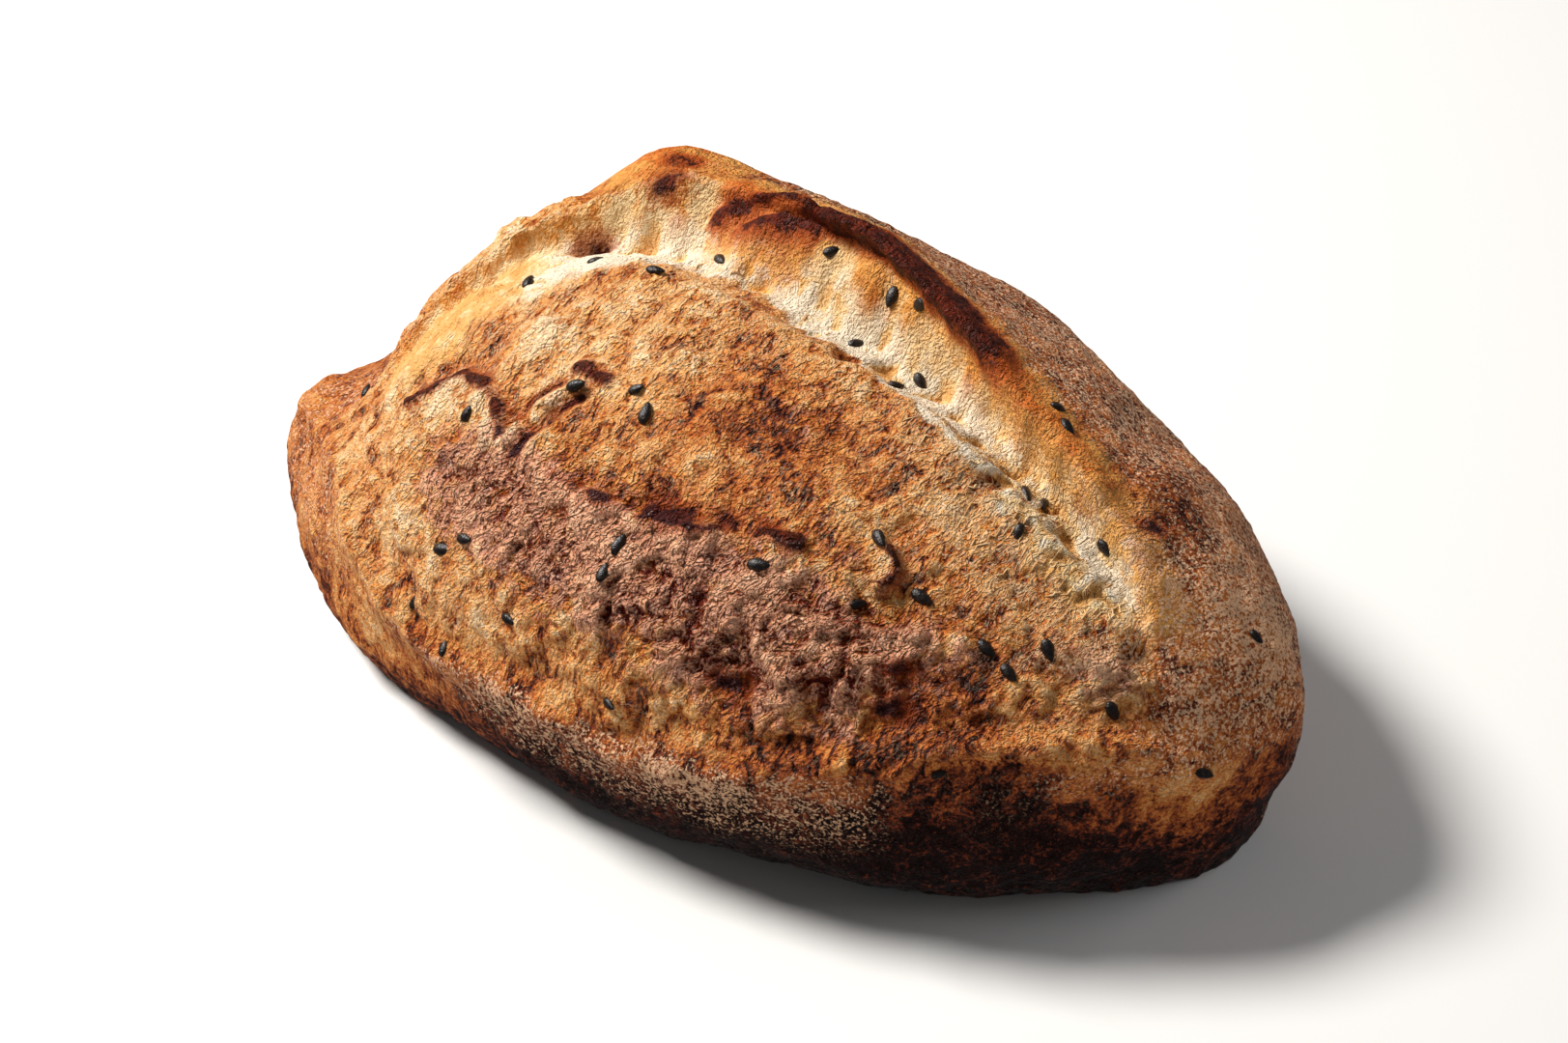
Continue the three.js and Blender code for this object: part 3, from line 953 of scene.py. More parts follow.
    def spots(self, body: Array) -> Array:
        """Small dark spots: scorched on the lobe, and painted shade in the dents above the rim and in
        the cave.

        Args:
            body: The points on the smooth dough.

        Returns:
            One number for each point, 0 for none and 1 for black.
        """
        uneven = 1.0 + 0.4 * ripple(body, 3.0, 91)
        total = np.zeros(body.shape[:-1])
        for x, y, z, size in SPOTS:
            spot = Patch(x, y, z, size * self.spot_pull, size, self.spot_scorch_and_shade, self.spot_turn)
            total = np.maximum(total, spot.spread(body) * uneven)
        return total

    def colour_fields(
        self, site: Site, zone: dict[str, Array], fine: Array, scorch_and_shade: Array
    ) -> dict[str, Array]:
        """The fields that the crust's finish reads, each from 0 to 1.

        Args:
            site: The points.
            zone: The masks of the crust's regions there.
            fine: The fine relief there, in millimetres.
            scorch_and_shade: The torn folds' mask of scorch and painted shade.

        Returns:
            One array for each field.
        """
        body, x, burst = site.body, site.x, zone["burst"]
        upright = np.stack([x, site.y, site.z * 0.35], axis=-1)
        streaks = ripple(upright, 7.0, 87) + 0.8 * ripple(upright, 2.8, 88)
        # Painted shade in the pits' holes: browned dark, with no crumb or wall colour.
        hole_shade = np.clip(together(self.pits, body), 0, 1)
        bake = burst * self.burst_bake(site, zone["dusk"])
        bake = bake + (1.0 - burst) * self.skin_bake(site, streaks)
        pale_end = VALLEY_END.spread(body)
        tone = 0.3 + 0.72 * (1.0 - smooth(x, -62, -46)) + 0.6 * smooth(x, 34, 70)
        fields = {
            "bake": bake + together(BROWNED, body) + 0.35 * hole_shade,
            "crumb": np.maximum(zone["crumb"], pale_end) * (1.0 - hole_shade),
            "torn": burst,
            "tone": tone - 0.75 * pale_end,
            "flour": self.flour(site, burst, streaks),
            # Scorch, with painted shade in the grooves beside one strand, in the dents above the rim
            # and in the cave.
            "char": np.maximum(scorch_and_shade, np.maximum(self.ear_char(site), self.spots(body))),
            "edge": self.rust(site),
            "dusk": zone["dusk"],
            "wall": zone["wall"] * (1.0 - hole_shade),
            "web": zone["web"],
            "relief": 0.5 + 0.4 * fine,
        }
        return {name: np.clip(values, 0, 1) for name, values in fields.items()}


# ---- Meshes ----


def finished(bm: bmesh.types.BMesh, name: str, smooth_faces: bool = True) -> bpy.types.Object:
    """Turns a bmesh into an object in the scene, at the origin.

    Args:
        bm: The mesh; it is freed here.
        name: The piece's name.
        smooth_faces: Whether its faces are shaded smooth.

    Returns:
        The new object.
    """
    mesh = bpy.data.meshes.new(name)
    for face in bm.faces:
        face.smooth = smooth_faces
    bm.to_mesh(mesh)
    bm.free()
    piece = bpy.data.objects.new(name, mesh)
    bpy.context.scene.collection.objects.link(piece)
    return piece


# The fields' values on the rings that close the base; a field that isn't named is 0 there.
UNDERSIDE = {"bake": 0.66, "flour": 0.6, "relief": 0.5}


@dataclass
class Crust:
    """The loaf's whole outside as one closed mesh."""

    baking: Baking
    columns: int = 334
    rows: int = 272
    ear_row: int = 180
    samples: int = 500
    base_rings: tuple[float, ...] = (0.985, 0.9, 0.5)
    ear_reach: tuple[float, float] = (-60.0, 87.0)
    sections: tuple[float, ...] = (-0.75, -0.45, -0.1, 0.3, 0.65)
    flank_top: float = 30.0
    out_of_reach: float = 1e4
    stride: int = 2
    baked: Baked = field(init=False)
    shift: Array = field(init=False)

    def column_places(self) -> Array:
        """Columns of the square, evenly apart along the dough.

        Returns:
            The columns' places in the square, from -1 to 1.
        """
        p = np.linspace(-1.0, 1.0, self.samples)
        length = np.zeros(self.samples)
        for q in self.sections:
            points = self.baking.dough.point(*to_disc(p, np.full_like(p, q)))
            step = np.linalg.norm(np.diff(points, axis=0), axis=1)
            length[1:] += np.cumsum(step)
        return np.interp(np.linspace(0.0, length[-1], self.columns + 1), length, p)

    def row_places(self, columns: Array) -> Array:
        """Rows of each column: one on the ear, closer together in the burst and at the ear.

        Args:
            columns: The columns' places in the square.

        Returns:
            One line of row places for each column.
        """
        cut = self.baking.cut
        q = np.linspace(-1.0, 1.0, self.samples)
        grid_p, grid_q = np.meshgrid(columns, q, indexing="ij")
        points = self.baking.dough.point(*to_disc(grid_p, grid_q))
        reach = np.clip(points[..., 0], *self.ear_reach)
        ear_y = np.interp(reach, cut.line[:, 0], cut.line[:, 1])
        past = points[..., 1] - ear_y
        into = -cut.nearest(points[..., :2]).behind
        on_burst = smooth(into, -3.0, 3.0) * (points[..., 2] > self.flank_top)
        weight = 1.0 + 0.8 * on_burst + 2.2 * bell(into - 1.0, 4.0)
        step = np.linalg.norm(np.diff(points, axis=1), axis=2) * (weight[:, 1:] + weight[:, :-1]) / 2
        length = np.concatenate([np.zeros((len(columns), 1)), np.cumsum(step, axis=1)], axis=1)
        rows = np.empty((len(columns), self.rows + 1))
        for i in range(len(columns)):
            crossing = int(np.argmax((past[i, :-1] < 0.0) & (past[i, 1:] >= 0.0)))
            part = -past[i, crossing] / (past[i, crossing + 1] - past[i, crossing])
            ear = length[i, crossing] + part * (length[i, crossing + 1] - length[i, crossing])
            near = np.linspace(0.0, ear, self.ear_row + 1)
            far = np.linspace(ear, length[i, -1], self.rows - self.ear_row + 1)[1:]
            rows[i] = np.interp(np.concatenate([near, far]), length[i], q)
        return rows

    def build(self) -> bpy.types.Object:
        """Lays the grid onto the baked surface, closes it underneath and keeps its fields.

        Returns:
            The crust.
        """
        columns = self.column_places()
        rows = self.row_places(columns)
        grid_p = np.repeat(columns[:, None], self.rows + 1, axis=1)
        self.baked = self.baking.bake(*to_disc(grid_p, rows))
        place = self.baked.place.reshape(-1, 3)
        low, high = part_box("loaf")
        middle = (place.min(axis=0) + place.max(axis=0)) / 2
        self.shift = np.array([(low[k] + high[k]) / 2 / MM - middle[k] for k in range(2)] + [0.0])
        bm = bmesh.new()
        bmesh.ops.create_grid(bm, x_segments=self.columns, y_segments=self.rows, size=1.0)
        bm.verts.ensure_lookup_table()
        square = np.array([vert.co[:2] for vert in bm.verts])
        column = np.rint((square[:, 0] + 1) / 2 * self.columns).astype(int)
        row = np.rint((square[:, 1] + 1) / 2 * self.rows).astype(int)
        source = column * (self.rows + 1) + row
        for vert, point in zip(bm.verts, (place[source] + self.shift) * MM):
            vert.co = point
        self.close_base(bm)
        crust = finished(bm, "crust")
        self.keep_fields(crust.data, source)
        return crust

    def close_base(self, bm: bmesh.types.BMesh) -> None:
        """Closes the flat base by rings that shrink to one point in the middle.

        Args:
            bm: The crust so far, open underneath.
        """
        edges = [edge for edge in bm.edges if edge.is_boundary]
        ring = [vert for vert in bm.verts if vert.is_boundary]
        centre = sum((vert.co for vert in ring), Vector()) / len(ring)
        scale_before = 1.0
        for scale in self.base_rings:
            made = bmesh.ops.extrude_edge_only(bm, edges=edges)["geom"]
            ring = [item for item in made if isinstance(item, bmesh.types.BMVert)]
            edges = [item for item in made if isinstance(item, bmesh.types.BMEdge)]
            edges = [edge for edge in edges if edge.is_boundary]
            shrink = Matrix.Translation(centre) @ Matrix.Scale(scale / scale_before, 4)
            bmesh.ops.transform(bm, matrix=shrink @ Matrix.Translation(-centre), verts=ring)
            scale_before = scale
        bmesh.ops.pointmerge(bm, verts=ring, merge_co=centre)
        bmesh.ops.recalc_face_normals(bm, faces=bm.faces)

    def keep_fields(self, mesh: bpy.types.Mesh, source: Array) -> None:
        """Writes the baked fields on the mesh, with plain baked skin under the base.

        Args:
            mesh: The crust's mesh.
            source: Which baked point each of its first vertices is.
        """
        for name, values in self.baked.fields.items():
            whole = np.full(len(mesh.vertices), UNDERSIDE.get(name, 0.0), dtype=np.float32)
            whole[: len(source)] = values.reshape(-1)[source]
            mesh.attributes.new(name, "FLOAT", "POINT").data.foreach_set("value", whole)

    def foot(self, x: float, y: float) -> tuple[Vector, Vector, Vector]:
        """The crust's place, outward direction and long direction near a point in plan.

        Args:
            x: Place in plan along the loaf.
            y: Place in plan across the loaf.

        Returns:
            The place in millimetres, and the two directions as unit vectors.
        """
        plan = self.baked.dough
        gap = (plan[..., 0] - x) ** 2 + (plan[..., 1] - y) ** 2
        gap = gap + self.out_of_reach * (plan[..., 2] < self.flank_top)
        i, j = np.unravel_index(int(gap.argmin()), gap.shape)
        k = self.stride
        i = min(max(i, k), self.columns - k)
        j = min(max(j, k), self.rows - k)
        place = self.baked.place
        east = Vector(place[i + k, j] - place[i - k, j]).normalized()
        north = Vector(place[i, j + k] - place[i, j - k])
        out = east.cross(north).normalized()
        return Vector(place[i, j] + self.shift), out, east


@dataclass
class Chance:
    """Repeatable random numbers."""

    state: int
    gain: int = 1664525
    step: int = 1013904223

    def draw(self, low: float = 0.0, high: float = 1.0) -> float:
        """The next number between `low` and `high`."""
        self.state = (self.state * self.gain + self.step) & WORD
        return low + (high - low) * self.state / (WORD + 1)


@dataclass(frozen=True)
class Grain:
    """One seed in plan, with the direction of its length in degrees."""

    x: float
    y: float
    turn: float


LANDMARKS = (
    Grain(-48, -41, 65), Grain(-16, -32, 30), Grain(-12, -35, 100), Grain(-27, -34, 20),
    Grain(-6, -55, 80), Grain(-39, -58, 10), Grain(-44, -59, 0), Grain(-24, -66, -20),
    Grain(-39, -67, 100), Grain(-49, -63, 60), Grain(-6, -59, 90), Grain(1, -70, 10),
    Grain(21, -49, 30), Grain(39, -36, -20), Grain(50, -40, 10), Grain(40, -46, 50),
    Grain(64, -40, 0), Grain(69, -41, 0), Grain(73, -34, -20), Grain(87, -34, 0),
    Grain(-27, -7, 0), Grain(-43, -4, 20), Grain(-54, -12, 75), Grain(-21, 7, -30),
    Grain(0, 12, 60), Grain(15, 9, -60), Grain(22, 8, 80), Grain(12, 3, 60),
    Grain(27, 1, -20), Grain(24, -3, 40), Grain(56, -11, -30), Grain(59, -10, -70),
    Grain(60, -21, -60), Grain(74, -12, 0), Grain(55, 4, 70), Grain(59, 1, -10),
    Grain(-92, -23, 90), Grain(101, -5, 10), Grain(102, -27, 20), Grain(63, -55, 30),
)


@dataclass
class Seeds:
    """Toasted seeds baked into the burst, each a little different in size."""

    crust: Crust
    length: float = 4.2
    width: float = 2.1
    thickness: float = 1.5
    sunk: float = 0.15
    pressed: float = 0.45
    pointed: float = 0.28
    rounded: float = 0.12
    ridged: float = 0.10
    sizes: tuple[float, float] = (0.82, 1.12)
    tilt: float = 0.25
    sides: int = 12
    rings: int = 8
    start: int = 20818

    def build(self) -> bpy.types.Object:
        """Joins all seeds in one mesh of small drop-shaped bodies.

        Returns:
            The seeds.
        """
        chance = Chance(self.start)
        bm = bmesh.new()
        for seed in LANDMARKS:
            foot, out, east = self.crust.foot(seed.x, seed.y)
            size = chance.draw(*self.sizes)
            made = bmesh.ops.create_uvsphere(
                bm, u_segments=self.sides, v_segments=self.rings, radius=0.5
            )
            lean = Matrix.Rotation(chance.draw(-self.tilt, self.tilt), 4, "Y")
            for vert in made["verts"]:
                vert.co = self.drop(vert.co) * size
            side = out.cross(east)
            basis = Matrix((east, side, out)).transposed().to_4x4()
            turn = Matrix.Rotation(math.radians(seed.turn), 4, "Z")
            rest = foot + out * (self.thickness * (0.5 - self.sunk) - self.pressed)
            place = Matrix.Translation(rest * MM) @ basis @ turn @ lean @ Matrix.Scale(MM, 4)
            bmesh.ops.transform(bm, matrix=place, verts=made["verts"])
        return finished(bm, "seeds")

    def drop(self, point: Vector) -> Vector:
        """A point of a unit ball moved onto the seed's drop shape, lying along X.

        Args:
            point: The point of the ball.

        Returns:
            The point on the seed, in millimetres.
        """
        along = point.z * 2.0
        taper = 1.0 - self.pointed * along - self.rounded * along * along
        ridge = 1.0 + self.ridged * math.cos(2.0 * math.atan2(point.y, point.x)) ** 2
        across = point.x * self.width * taper * ridge
        return Vector((along * self.length / 2, across, point.y * self.thickness * taper))


@dataclass(frozen=True)
class Pull:
    """A place where crumb was pulled into threads."""

    x: float
    y: float
    spread: float
    count: int
    turn: float
    length: float


@dataclass
class Threads:
    """Thin threads of crumb that the burst pulled across the valley's edge."""

    crust: Crust
    pulls: tuple[Pull, ...] = (
        Pull(60, -21, 13, 70, 72, 4.5),
        Pull(76, -23, 8, 30, 75, 4.0),
        Pull(40, -14, 11, 34, 70, 4.0),
        Pull(-22, -2, 12, 12, 85, 4.5),
        Pull(5, -3, 12, 12, 80, 4.0),
    )
    radius: float = 0.15
    buried: float = 0.3
    squash: float = 0.7
    sway: float = 28.0
    points: int = 6
    start: int = 907

    def build(self) -> bpy.types.Object:
        """Lays the threads on the crust, each arched a little and sunk at its ends.

        Returns:
            The threads as one mesh.
        """
        chance = Chance(self.start)
        curve = bpy.data.curves.new("threads", "CURVE")
        curve.dimensions = "3D"
        curve.bevel_depth = self.radius * MM
        curve.bevel_resolution = 1
        curve.resolution_u = 3
        curve.use_fill_caps = True
        for pull in self.pulls:
            for _ in range(pull.count):
                self.lay(curve, pull, chance)
        draft = bpy.data.objects.new("threads", curve)
        bpy.context.scene.collection.objects.link(draft)
        bpy.context.view_layer.update()
        depsgraph = bpy.context.evaluated_depsgraph_get()
        mesh = bpy.data.meshes.new_from_object(draft.evaluated_get(depsgraph))
        bpy.data.objects.remove(draft)
        mesh.name = "threads"
        mesh.shade_smooth()
        piece = bpy.data.objects.new("threads", mesh)
        bpy.context.scene.collection.objects.link(piece)
        return piece

    def lay(self, curve: bpy.types.Curve, pull: Pull, chance: Chance) -> None:
        """Adds one thread near a pull's middle.

        Args:
            curve: The curve that holds all threads.
            pull: The place where the crumb was pulled.
            chance: The random numbers.
        """
        away = pull.spread * math.sqrt(chance.draw())
        round_angle = chance.draw(0.0, 2.0 * math.pi)
        x = pull.x + away * math.cos(round_angle)
        y = pull.y + away * math.sin(round_angle) * self.squash
        turn = math.radians(pull.turn + chance.draw(-self.sway, self.sway))
        length = pull.length * chance.draw(0.5, 1.15)
        bow = chance.draw(-1.0, 1.0)
        arch = chance.draw(0.25, 0.55)
        thick = chance.draw(0.5, 1.2)
        strand = curve.splines.new("POLY")
        strand.points.add(self.points - 1)
        for k, knot in enumerate(strand.points):
            t = k / (self.points - 1)
            ahead = (t - 0.5) * length
            aside = bow * math.sin(math.pi * t)
            px = x + ahead * math.cos(turn) - aside * math.sin(turn)
            py = y + ahead * math.sin(turn) + aside * math.cos(turn)
            foot, out, _ = self.crust.foot(px, py)
            place = (foot + out * (arch * math.sin(math.pi * t) - self.buried)) * MM
            knot.co = (*place, 1.0)
            knot.radius = thick * (0.35 + 0.65 * math.sin(math.pi * t))


# ---- Finishes ----


def paint(red: float, green: float, blue: float) -> Colour:
    """A colour given as a paint chart's 0 to 255 values, as linear light.

    Args:
        red: Red value.
        green: Green value.
        blue: Blue value.

    Returns:
        Red, green, blue and alpha.
    """

    def linear(value: float) -> float:
        """One value as linear light."""
        part = value / 255.0
        return part / 12.92 if part <= 0.04045 else ((part + 0.055) / 1.055) ** 2.4

    return linear(red), linear(green), linear(blue), 1.0


class Shade:
    """A shader socket that takes part in sums written as plain expressions."""

    def __init__(self, graph: "Graph", socket: bpy.types.NodeSocket) -> None:
        """Wraps one output socket of a graph."""
        self.graph = graph
        self.socket = socket

    def _math(self, operation: str, *values: "Shade | float") -> "Shade":
        """A Math node on some values."""
        return self.graph.node("ShaderNodeMath", {"operation": operation}, dict(enumerate(values)))

    def __add__(self, other: "Shade | float") -> "Shade":
        """Sum."""
        return self._math("ADD", self, other)

    def __radd__(self, other: float) -> "Shade":
        """Sum, the number first."""
        return self._math("ADD", other, self)

    def __sub__(self, other: "Shade | float") -> "Shade":
        """Difference."""
        return self._math("SUBTRACT", self, other)

    def __rsub__(self, other: float) -> "Shade":
        """Difference, the number first."""
        return self._math("SUBTRACT", other, self)

    def __mul__(self, other: "Shade | float") -> "Shade":
        """Product."""
        return self._math("MULTIPLY", self, other)

    def crest(self, gain: float) -> "Shade":
        """Noise folded into sharp crests: 1 on the crests and 0 between them."""
        return (1.0 - self._math("ABSOLUTE", self - 0.5) * gain).clamped()

    def step(self, low: float, high: float) -> "Shade":
        """Smooth step from 0 at `low` to 1 at `high`.

        Args:
            low: Where it starts to rise.
            high: Where it reaches 1.

        Returns:
            The step.
        """
        settings = {"interpolation_type": "SMOOTHSTEP"}
        inputs = {"Value": self, "From Min": low, "From Max": high, "To Min": 0.0, "To Max": 1.0}
        return self.graph.node("ShaderNodeMapRange", settings, inputs)

    def clamped(self) -> "Shade":
        """The value held between 0 and 1."""
        return self.graph.node("ShaderNodeClamp", {}, {"Value": self})


Input = Shade | float | Colour
Stop = tuple[float, Colour]


class Graph:
    """The node tree of one material."""

    def __init__(self, name: str) -> None:
        """Makes a material with an empty tree.

        Args:
            name: The material's name.
        """
        self.material = bpy.data.materials.new(name)
        self.material.use_nodes = True
        self.tree = self.material.node_tree
        self.tree.nodes.clear()
        self.object_points = self.node("ShaderNodeTexCoord", {}, {}, "Object")

    def node(
        self,
        kind: str,
        settings: dict[str, object],
        inputs: dict[str | int, Input],
        output: str | int = 0,
    ) -> Shade:
        """Adds a node.

        Args:
            kind: The node's type.
            settings: Its settings, set before its sockets.
            inputs: Values or links by socket name or number.
            output: Which of its outputs is wanted.

        Returns:
            That output.
        """
        made = self.tree.nodes.new(kind)
        for name, value in settings.items():
            setattr(made, name, value)
        for key, value in inputs.items():
            if isinstance(value, Shade):
                self.tree.links.new(value.socket, made.inputs[key])
            else:
                made.inputs[key].default_value = value
        return Shade(self, made.outputs[output])

    def field(self, name: str) -> Shade:
        """A field that the mesh keeps as an attribute."""
        return self.node("ShaderNodeAttribute", {"attribute_name": name}, {}, "Fac")

    def noise(
        self, size: float, detail: float = 3.0, pull: float = 1.0, turn: float = 0.0, curl: float = 0.0
    ) -> Shade:
        """Cloudy noise from 0 to 1.

        Args:
            size: Size of its clouds in millimetres.
            detail: How many finer layers it has.
            pull: How many times longer than wide the clouds are.
            turn: Direction of their length in plan, in degrees from +X.
            curl: How much the clouds swirl.

        Returns:
            The noise.
        """
        points = self.object_points
        if pull != 1.0:
            inputs = {
                "Vector": points,
                "Rotation": (0.0, 0.0, math.radians(turn)),
                "Scale": (pull, 1.0, pull),
            }
            points = self.node("ShaderNodeMapping", {"vector_type": "TEXTURE"}, inputs)
        inputs = {
            "Vector": points,
            "Scale": 1.0 / (size * MM),
            "Detail": detail,
            "Roughness": 0.6,
            "Distortion": curl,
        }
        return self.node("ShaderNodeTexNoise", {"noise_dimensions": "3D"}, inputs, "Fac")

    def ramp(self, value: Shade, stops: Sequence[Stop]) -> Shade:
        """Colours along a value.

        Args:
            value: Where along the colours, from 0 to 1.
            stops: The colours with their places.

        Returns:
            The colour.
        """
        made = self.tree.nodes.new("ShaderNodeValToRGB")
        elements = made.color_ramp.elements
        while len(elements) < len(stops):
            elements.new(0.5)
        for element, (place, colour) in zip(elements, stops):
            element.position = place
            element.color = colour
        self.tree.links.new(value.socket, made.inputs["Fac"])
        return Shade(self, made.outputs["Color"])

    def mix(self, factor: Input, first: Input, second: Input, blend: str = "MIX") -> Shade:
        """A mix of two colours."""
        settings = {"data_type": "RGBA", "blend_type": blend, "clamp_factor": True}
        return self.node("ShaderNodeMix", settings, {0: factor, 6: first, 7: second}, 2)

    def finish(self, inputs: dict[str | int, Input]) -> bpy.types.Material:
        """Ends the tree in one Principled shader.

        Args:
            inputs: The shader's values or links by socket name.

        Returns:
            The material.
        """
        shader = self.node("ShaderNodeBsdfPrincipled", {}, inputs, "BSDF")
        end = self.tree.nodes.new("ShaderNodeOutputMaterial")
        self.tree.links.new(shader.socket, end.inputs["Surface"])
        return self.material


class Textures:
    """What the crust's colours, gloss and bumps are made of: the mesh's fields, and noise."""

    def __init__(self, graph: Graph) -> None:
        """Adds the field and noise nodes to a graph.

        Args:
            graph: The material's node tree.
        """
        names = ("bake", "crumb", "flour", "char", "edge")
        self.bake, self.crumb, self.flour, self.char, self.edge = map(graph.field, names)
        names = ("dusk", "wall", "web", "tone", "torn")
        self.dusk, self.wall, self.web, self.tone, self.torn = map(graph.field, names)
        self.height = graph.field("relief") - 0.5
        self.clouds = graph.noise(17.0)
        self.patches = graph.noise(6.5, curl=0.8)
        self.mottle = graph.noise(2.6, curl=0.3)
        self.fleck = graph.noise(0.85, 2.0)
        self.dust = graph.noise(0.55, 2.0)
        self.speck = graph.noise(1.0, 2.0)
        crease = graph.noise(3.6, 3.0, 2.2, 78, 0.5).crest(13.0)
        self.crease = crease * self.patches.step(0.40, 0.60) * (self.torn * 0.35 + 0.65)
        self.wrinkle = graph.noise(2.3, 2.0, 1.9, 52, 0.7).crest(7.5)
        self.crinkle = graph.noise(1.2, 1.0, 1.3, 30, 0.5).crest(6.5)
        self.strand = graph.noise(1.9, 2.0, 2.2, 74, 1.5).crest(10.0)


@dataclass(frozen=True)
class CrustFinish:
    """Baked crust, pale crumb, floury skin and scorched edges, by the mesh's fields."""

    cream: Colour = paint(250, 218, 174)
    straw: Colour = paint(242, 186, 120)
    golden: Colour = paint(222, 150, 78)
    amber: Colour = paint(202, 112, 46)
    brown: Colour = paint(148, 68, 28)
    umber: Colour = paint(86, 32, 16)
    scorched: Colour = paint(38, 13, 9)
    # The dusk's two ends: pale pink for paler tone and painted highlight, deep red for deeper tone and
    # painted shade.
    dusk_pale_and_lit: Colour = paint(254, 188, 154)
    dusk_deep_and_shaded: Colour = paint(110, 30, 14)
    pulled: Colour = paint(246, 207, 158)
    crumb_light: Colour = paint(240, 224, 198)
    crumb_warm: Colour = paint(240, 203, 148)
    crumb_gold: Colour = paint(228, 168, 98)
    honey: Colour = paint(216, 142, 60)
    flour_light: Colour = paint(248, 198, 156)
    flour_grey: Colour = paint(240, 188, 146)
    ear_rust: Colour = paint(204, 104, 36)
    ear_gold: Colour = paint(240, 172, 88)
    # Colours of the scorched edges, also used for the painted shade in the grooves beside one strand,
    # the dents above the rim and the cave.
    char_and_shade_rust: Colour = paint(156, 62, 20)
    char_and_shade_brown: Colour = paint(98, 30, 12)
    char_and_shade_black: Colour = paint(44, 10, 8)
    char_and_shade_plum: Colour = paint(60, 32, 38)
    pit_shadow: Colour = paint(166, 98, 64)
    gloss: float = 0.16
    bump_depth: float = 0.6

    def material(self) -> bpy.types.Material:
        """The crust's material.

        Returns:
            The material, with all its layers.
        """
        graph = Graph("baked_crust")
        by = Textures(graph)
        colour = self.baked_colour(graph, by)
        colour = self.with_crumb(graph, by, colour)
        colour = self.with_ear(graph, by, colour)
        colour = self.with_flour(graph, by, colour)
        colour = self.with_char(graph, by, colour)
        roughness = 0.46 - by.dusk * 0.14 + by.crumb * 0.3 + by.flour * 0.4 + (by.fleck - 0.5) * 0.6
        inputs = {"Strength": 1.0, "Distance": self.bump_depth * MM, "Height": self.bumps(by)}
        return graph.finish(
            {
                "Base Color": colour,
                "Roughness": roughness.clamped(),
                "Specular IOR Level": self.gloss,
                "Normal": graph.node("ShaderNodeBump", {}, inputs),
            }
        )

    def baked_colour(self, graph: Graph, by: Textures) -> Shade:
        """Crust from cream to scorched by how far it is baked, its dusk, its pale strands and painted
        shade.

        Args:
            graph: The material's node tree.
            by: The fields and noises in that tree.

        Returns:
            The colour.
        """
        blotch = (by.clouds - 0.5) * 0.65 + (by.patches - 0.5) * 0.6 + (by.mottle - 0.5) * 0.45
        baked = by.bake + blotch * (by.torn * 0.45 + 0.55)
        # Painted shade: browner where the relief lies low and in the creases; painted highlight: paler
        # on the wrinkles' crests, most in the dusk.
        baked = baked + (by.fleck - 0.5) * 0.9 - by.height * 0.5 + by.crease * 0.42
        baked = baked - (by.wrinkle - 0.4) * (by.dusk * 0.35 + 0.12)
        baked = baked + (by.dust - 0.5) * 0.6 + (by.speck - 0.5) * (0.5 - by.torn * 0.5)
        stops = (
            (0.02, self.cream),
            (0.18, self.straw),
            (0.36, self.golden),
            (0.52, self.amber),
            (0.68, self.brown),
            (0.84, self.umber),
            (0.98, self.scorched),
        )
        crust = graph.ramp(baked.clamped(), stops)
        dusky = (by.mottle - 0.5) * 1.3 + (by.patches - 0.5) * 1.2 + by.height * 0.4
        dusky = (by.dusk * 0.8 + dusky * (by.dusk * 3.0).clamped()).step(0.15, 0.75) * 0.72
        # The dusk from deep red to pale pink: paler where less baked, and painted highlight on raised
        # relief, wrinkle crests and grains, with painted shade between them.
        dusk_tone_and_shade = by.height * 1.4 + (by.fleck - 0.5) * 2.9 + (by.dust - 0.5) * 2.0
        dusk_tone_and_shade = (dusk_tone_and_shade + (by.wrinkle - 0.4) * 0.8 - (by.bake - 0.5) * 2.4 + 0.55).clamped()
        crust = graph.mix(dusky, crust, graph.mix(dusk_tone_and_shade, self.dusk_deep_and_shaded, self.dusk_pale_and_lit))
        pulled = by.web * 0.8 + (by.torn - by.bake) * 0.95 - by.dusk * 0.35
        pulled = (pulled * by.strand * (by.mottle + 0.5)).step(0.2, 0.85)
        crust = graph.mix(pulled * 0.7, crust, self.pulled)
        # Painted shade: the crust is darkened in the low spots of its finest grain, the bump's tiny
        # pits.
        micro_pit_shade = ((0.5 - by.dust) * 4.0 + (0.5 - by.fleck) * 2.0).clamped()
        return graph.mix(micro_pit_shade * 0.9, crust, self.pit_shadow, "MULTIPLY")

    def with_crumb(self, graph: Graph, by: Textures, colour: Shade) -> Shade:
        """Adds the pale crumb of the valley and the toasted wall below the ear.

        Args:
            graph: The material's node tree.
            by: The fields and noises in that tree.
            colour: The colour so far.

        Returns:
            The colour with it.
        """
        # Painted shade: the crumb is warmer and more golden where its relief lies low.
        paleness = by.clouds * 0.5 + by.mottle * 0.5 - by.height * 0.7 + (by.fleck - 0.5) * 0.3
        stops = ((0.70, self.crumb_light), (0.86, self.crumb_warm), (1.0, self.crumb_gold))
        pale = graph.ramp((paleness + by.tone * 0.5).clamped(), stops)
        colour = graph.mix((by.crumb * 1.5 + (by.mottle - 0.5) * 0.8).step(0.15, 0.6), colour, pale)
        toast = by.mottle * 0.6 + by.clouds * 0.7 - 0.1 + by.height * 0.7 + (by.fleck - 0.5) * 0.4
        stops = ((0.50, self.crumb_warm), (0.62, self.straw), (0.76, self.honey), (0.94, self.amber))
        return graph.mix(by.wall * (1.0 - by.crumb * 0.8), colour, graph.ramp(toast.clamped(), stops))

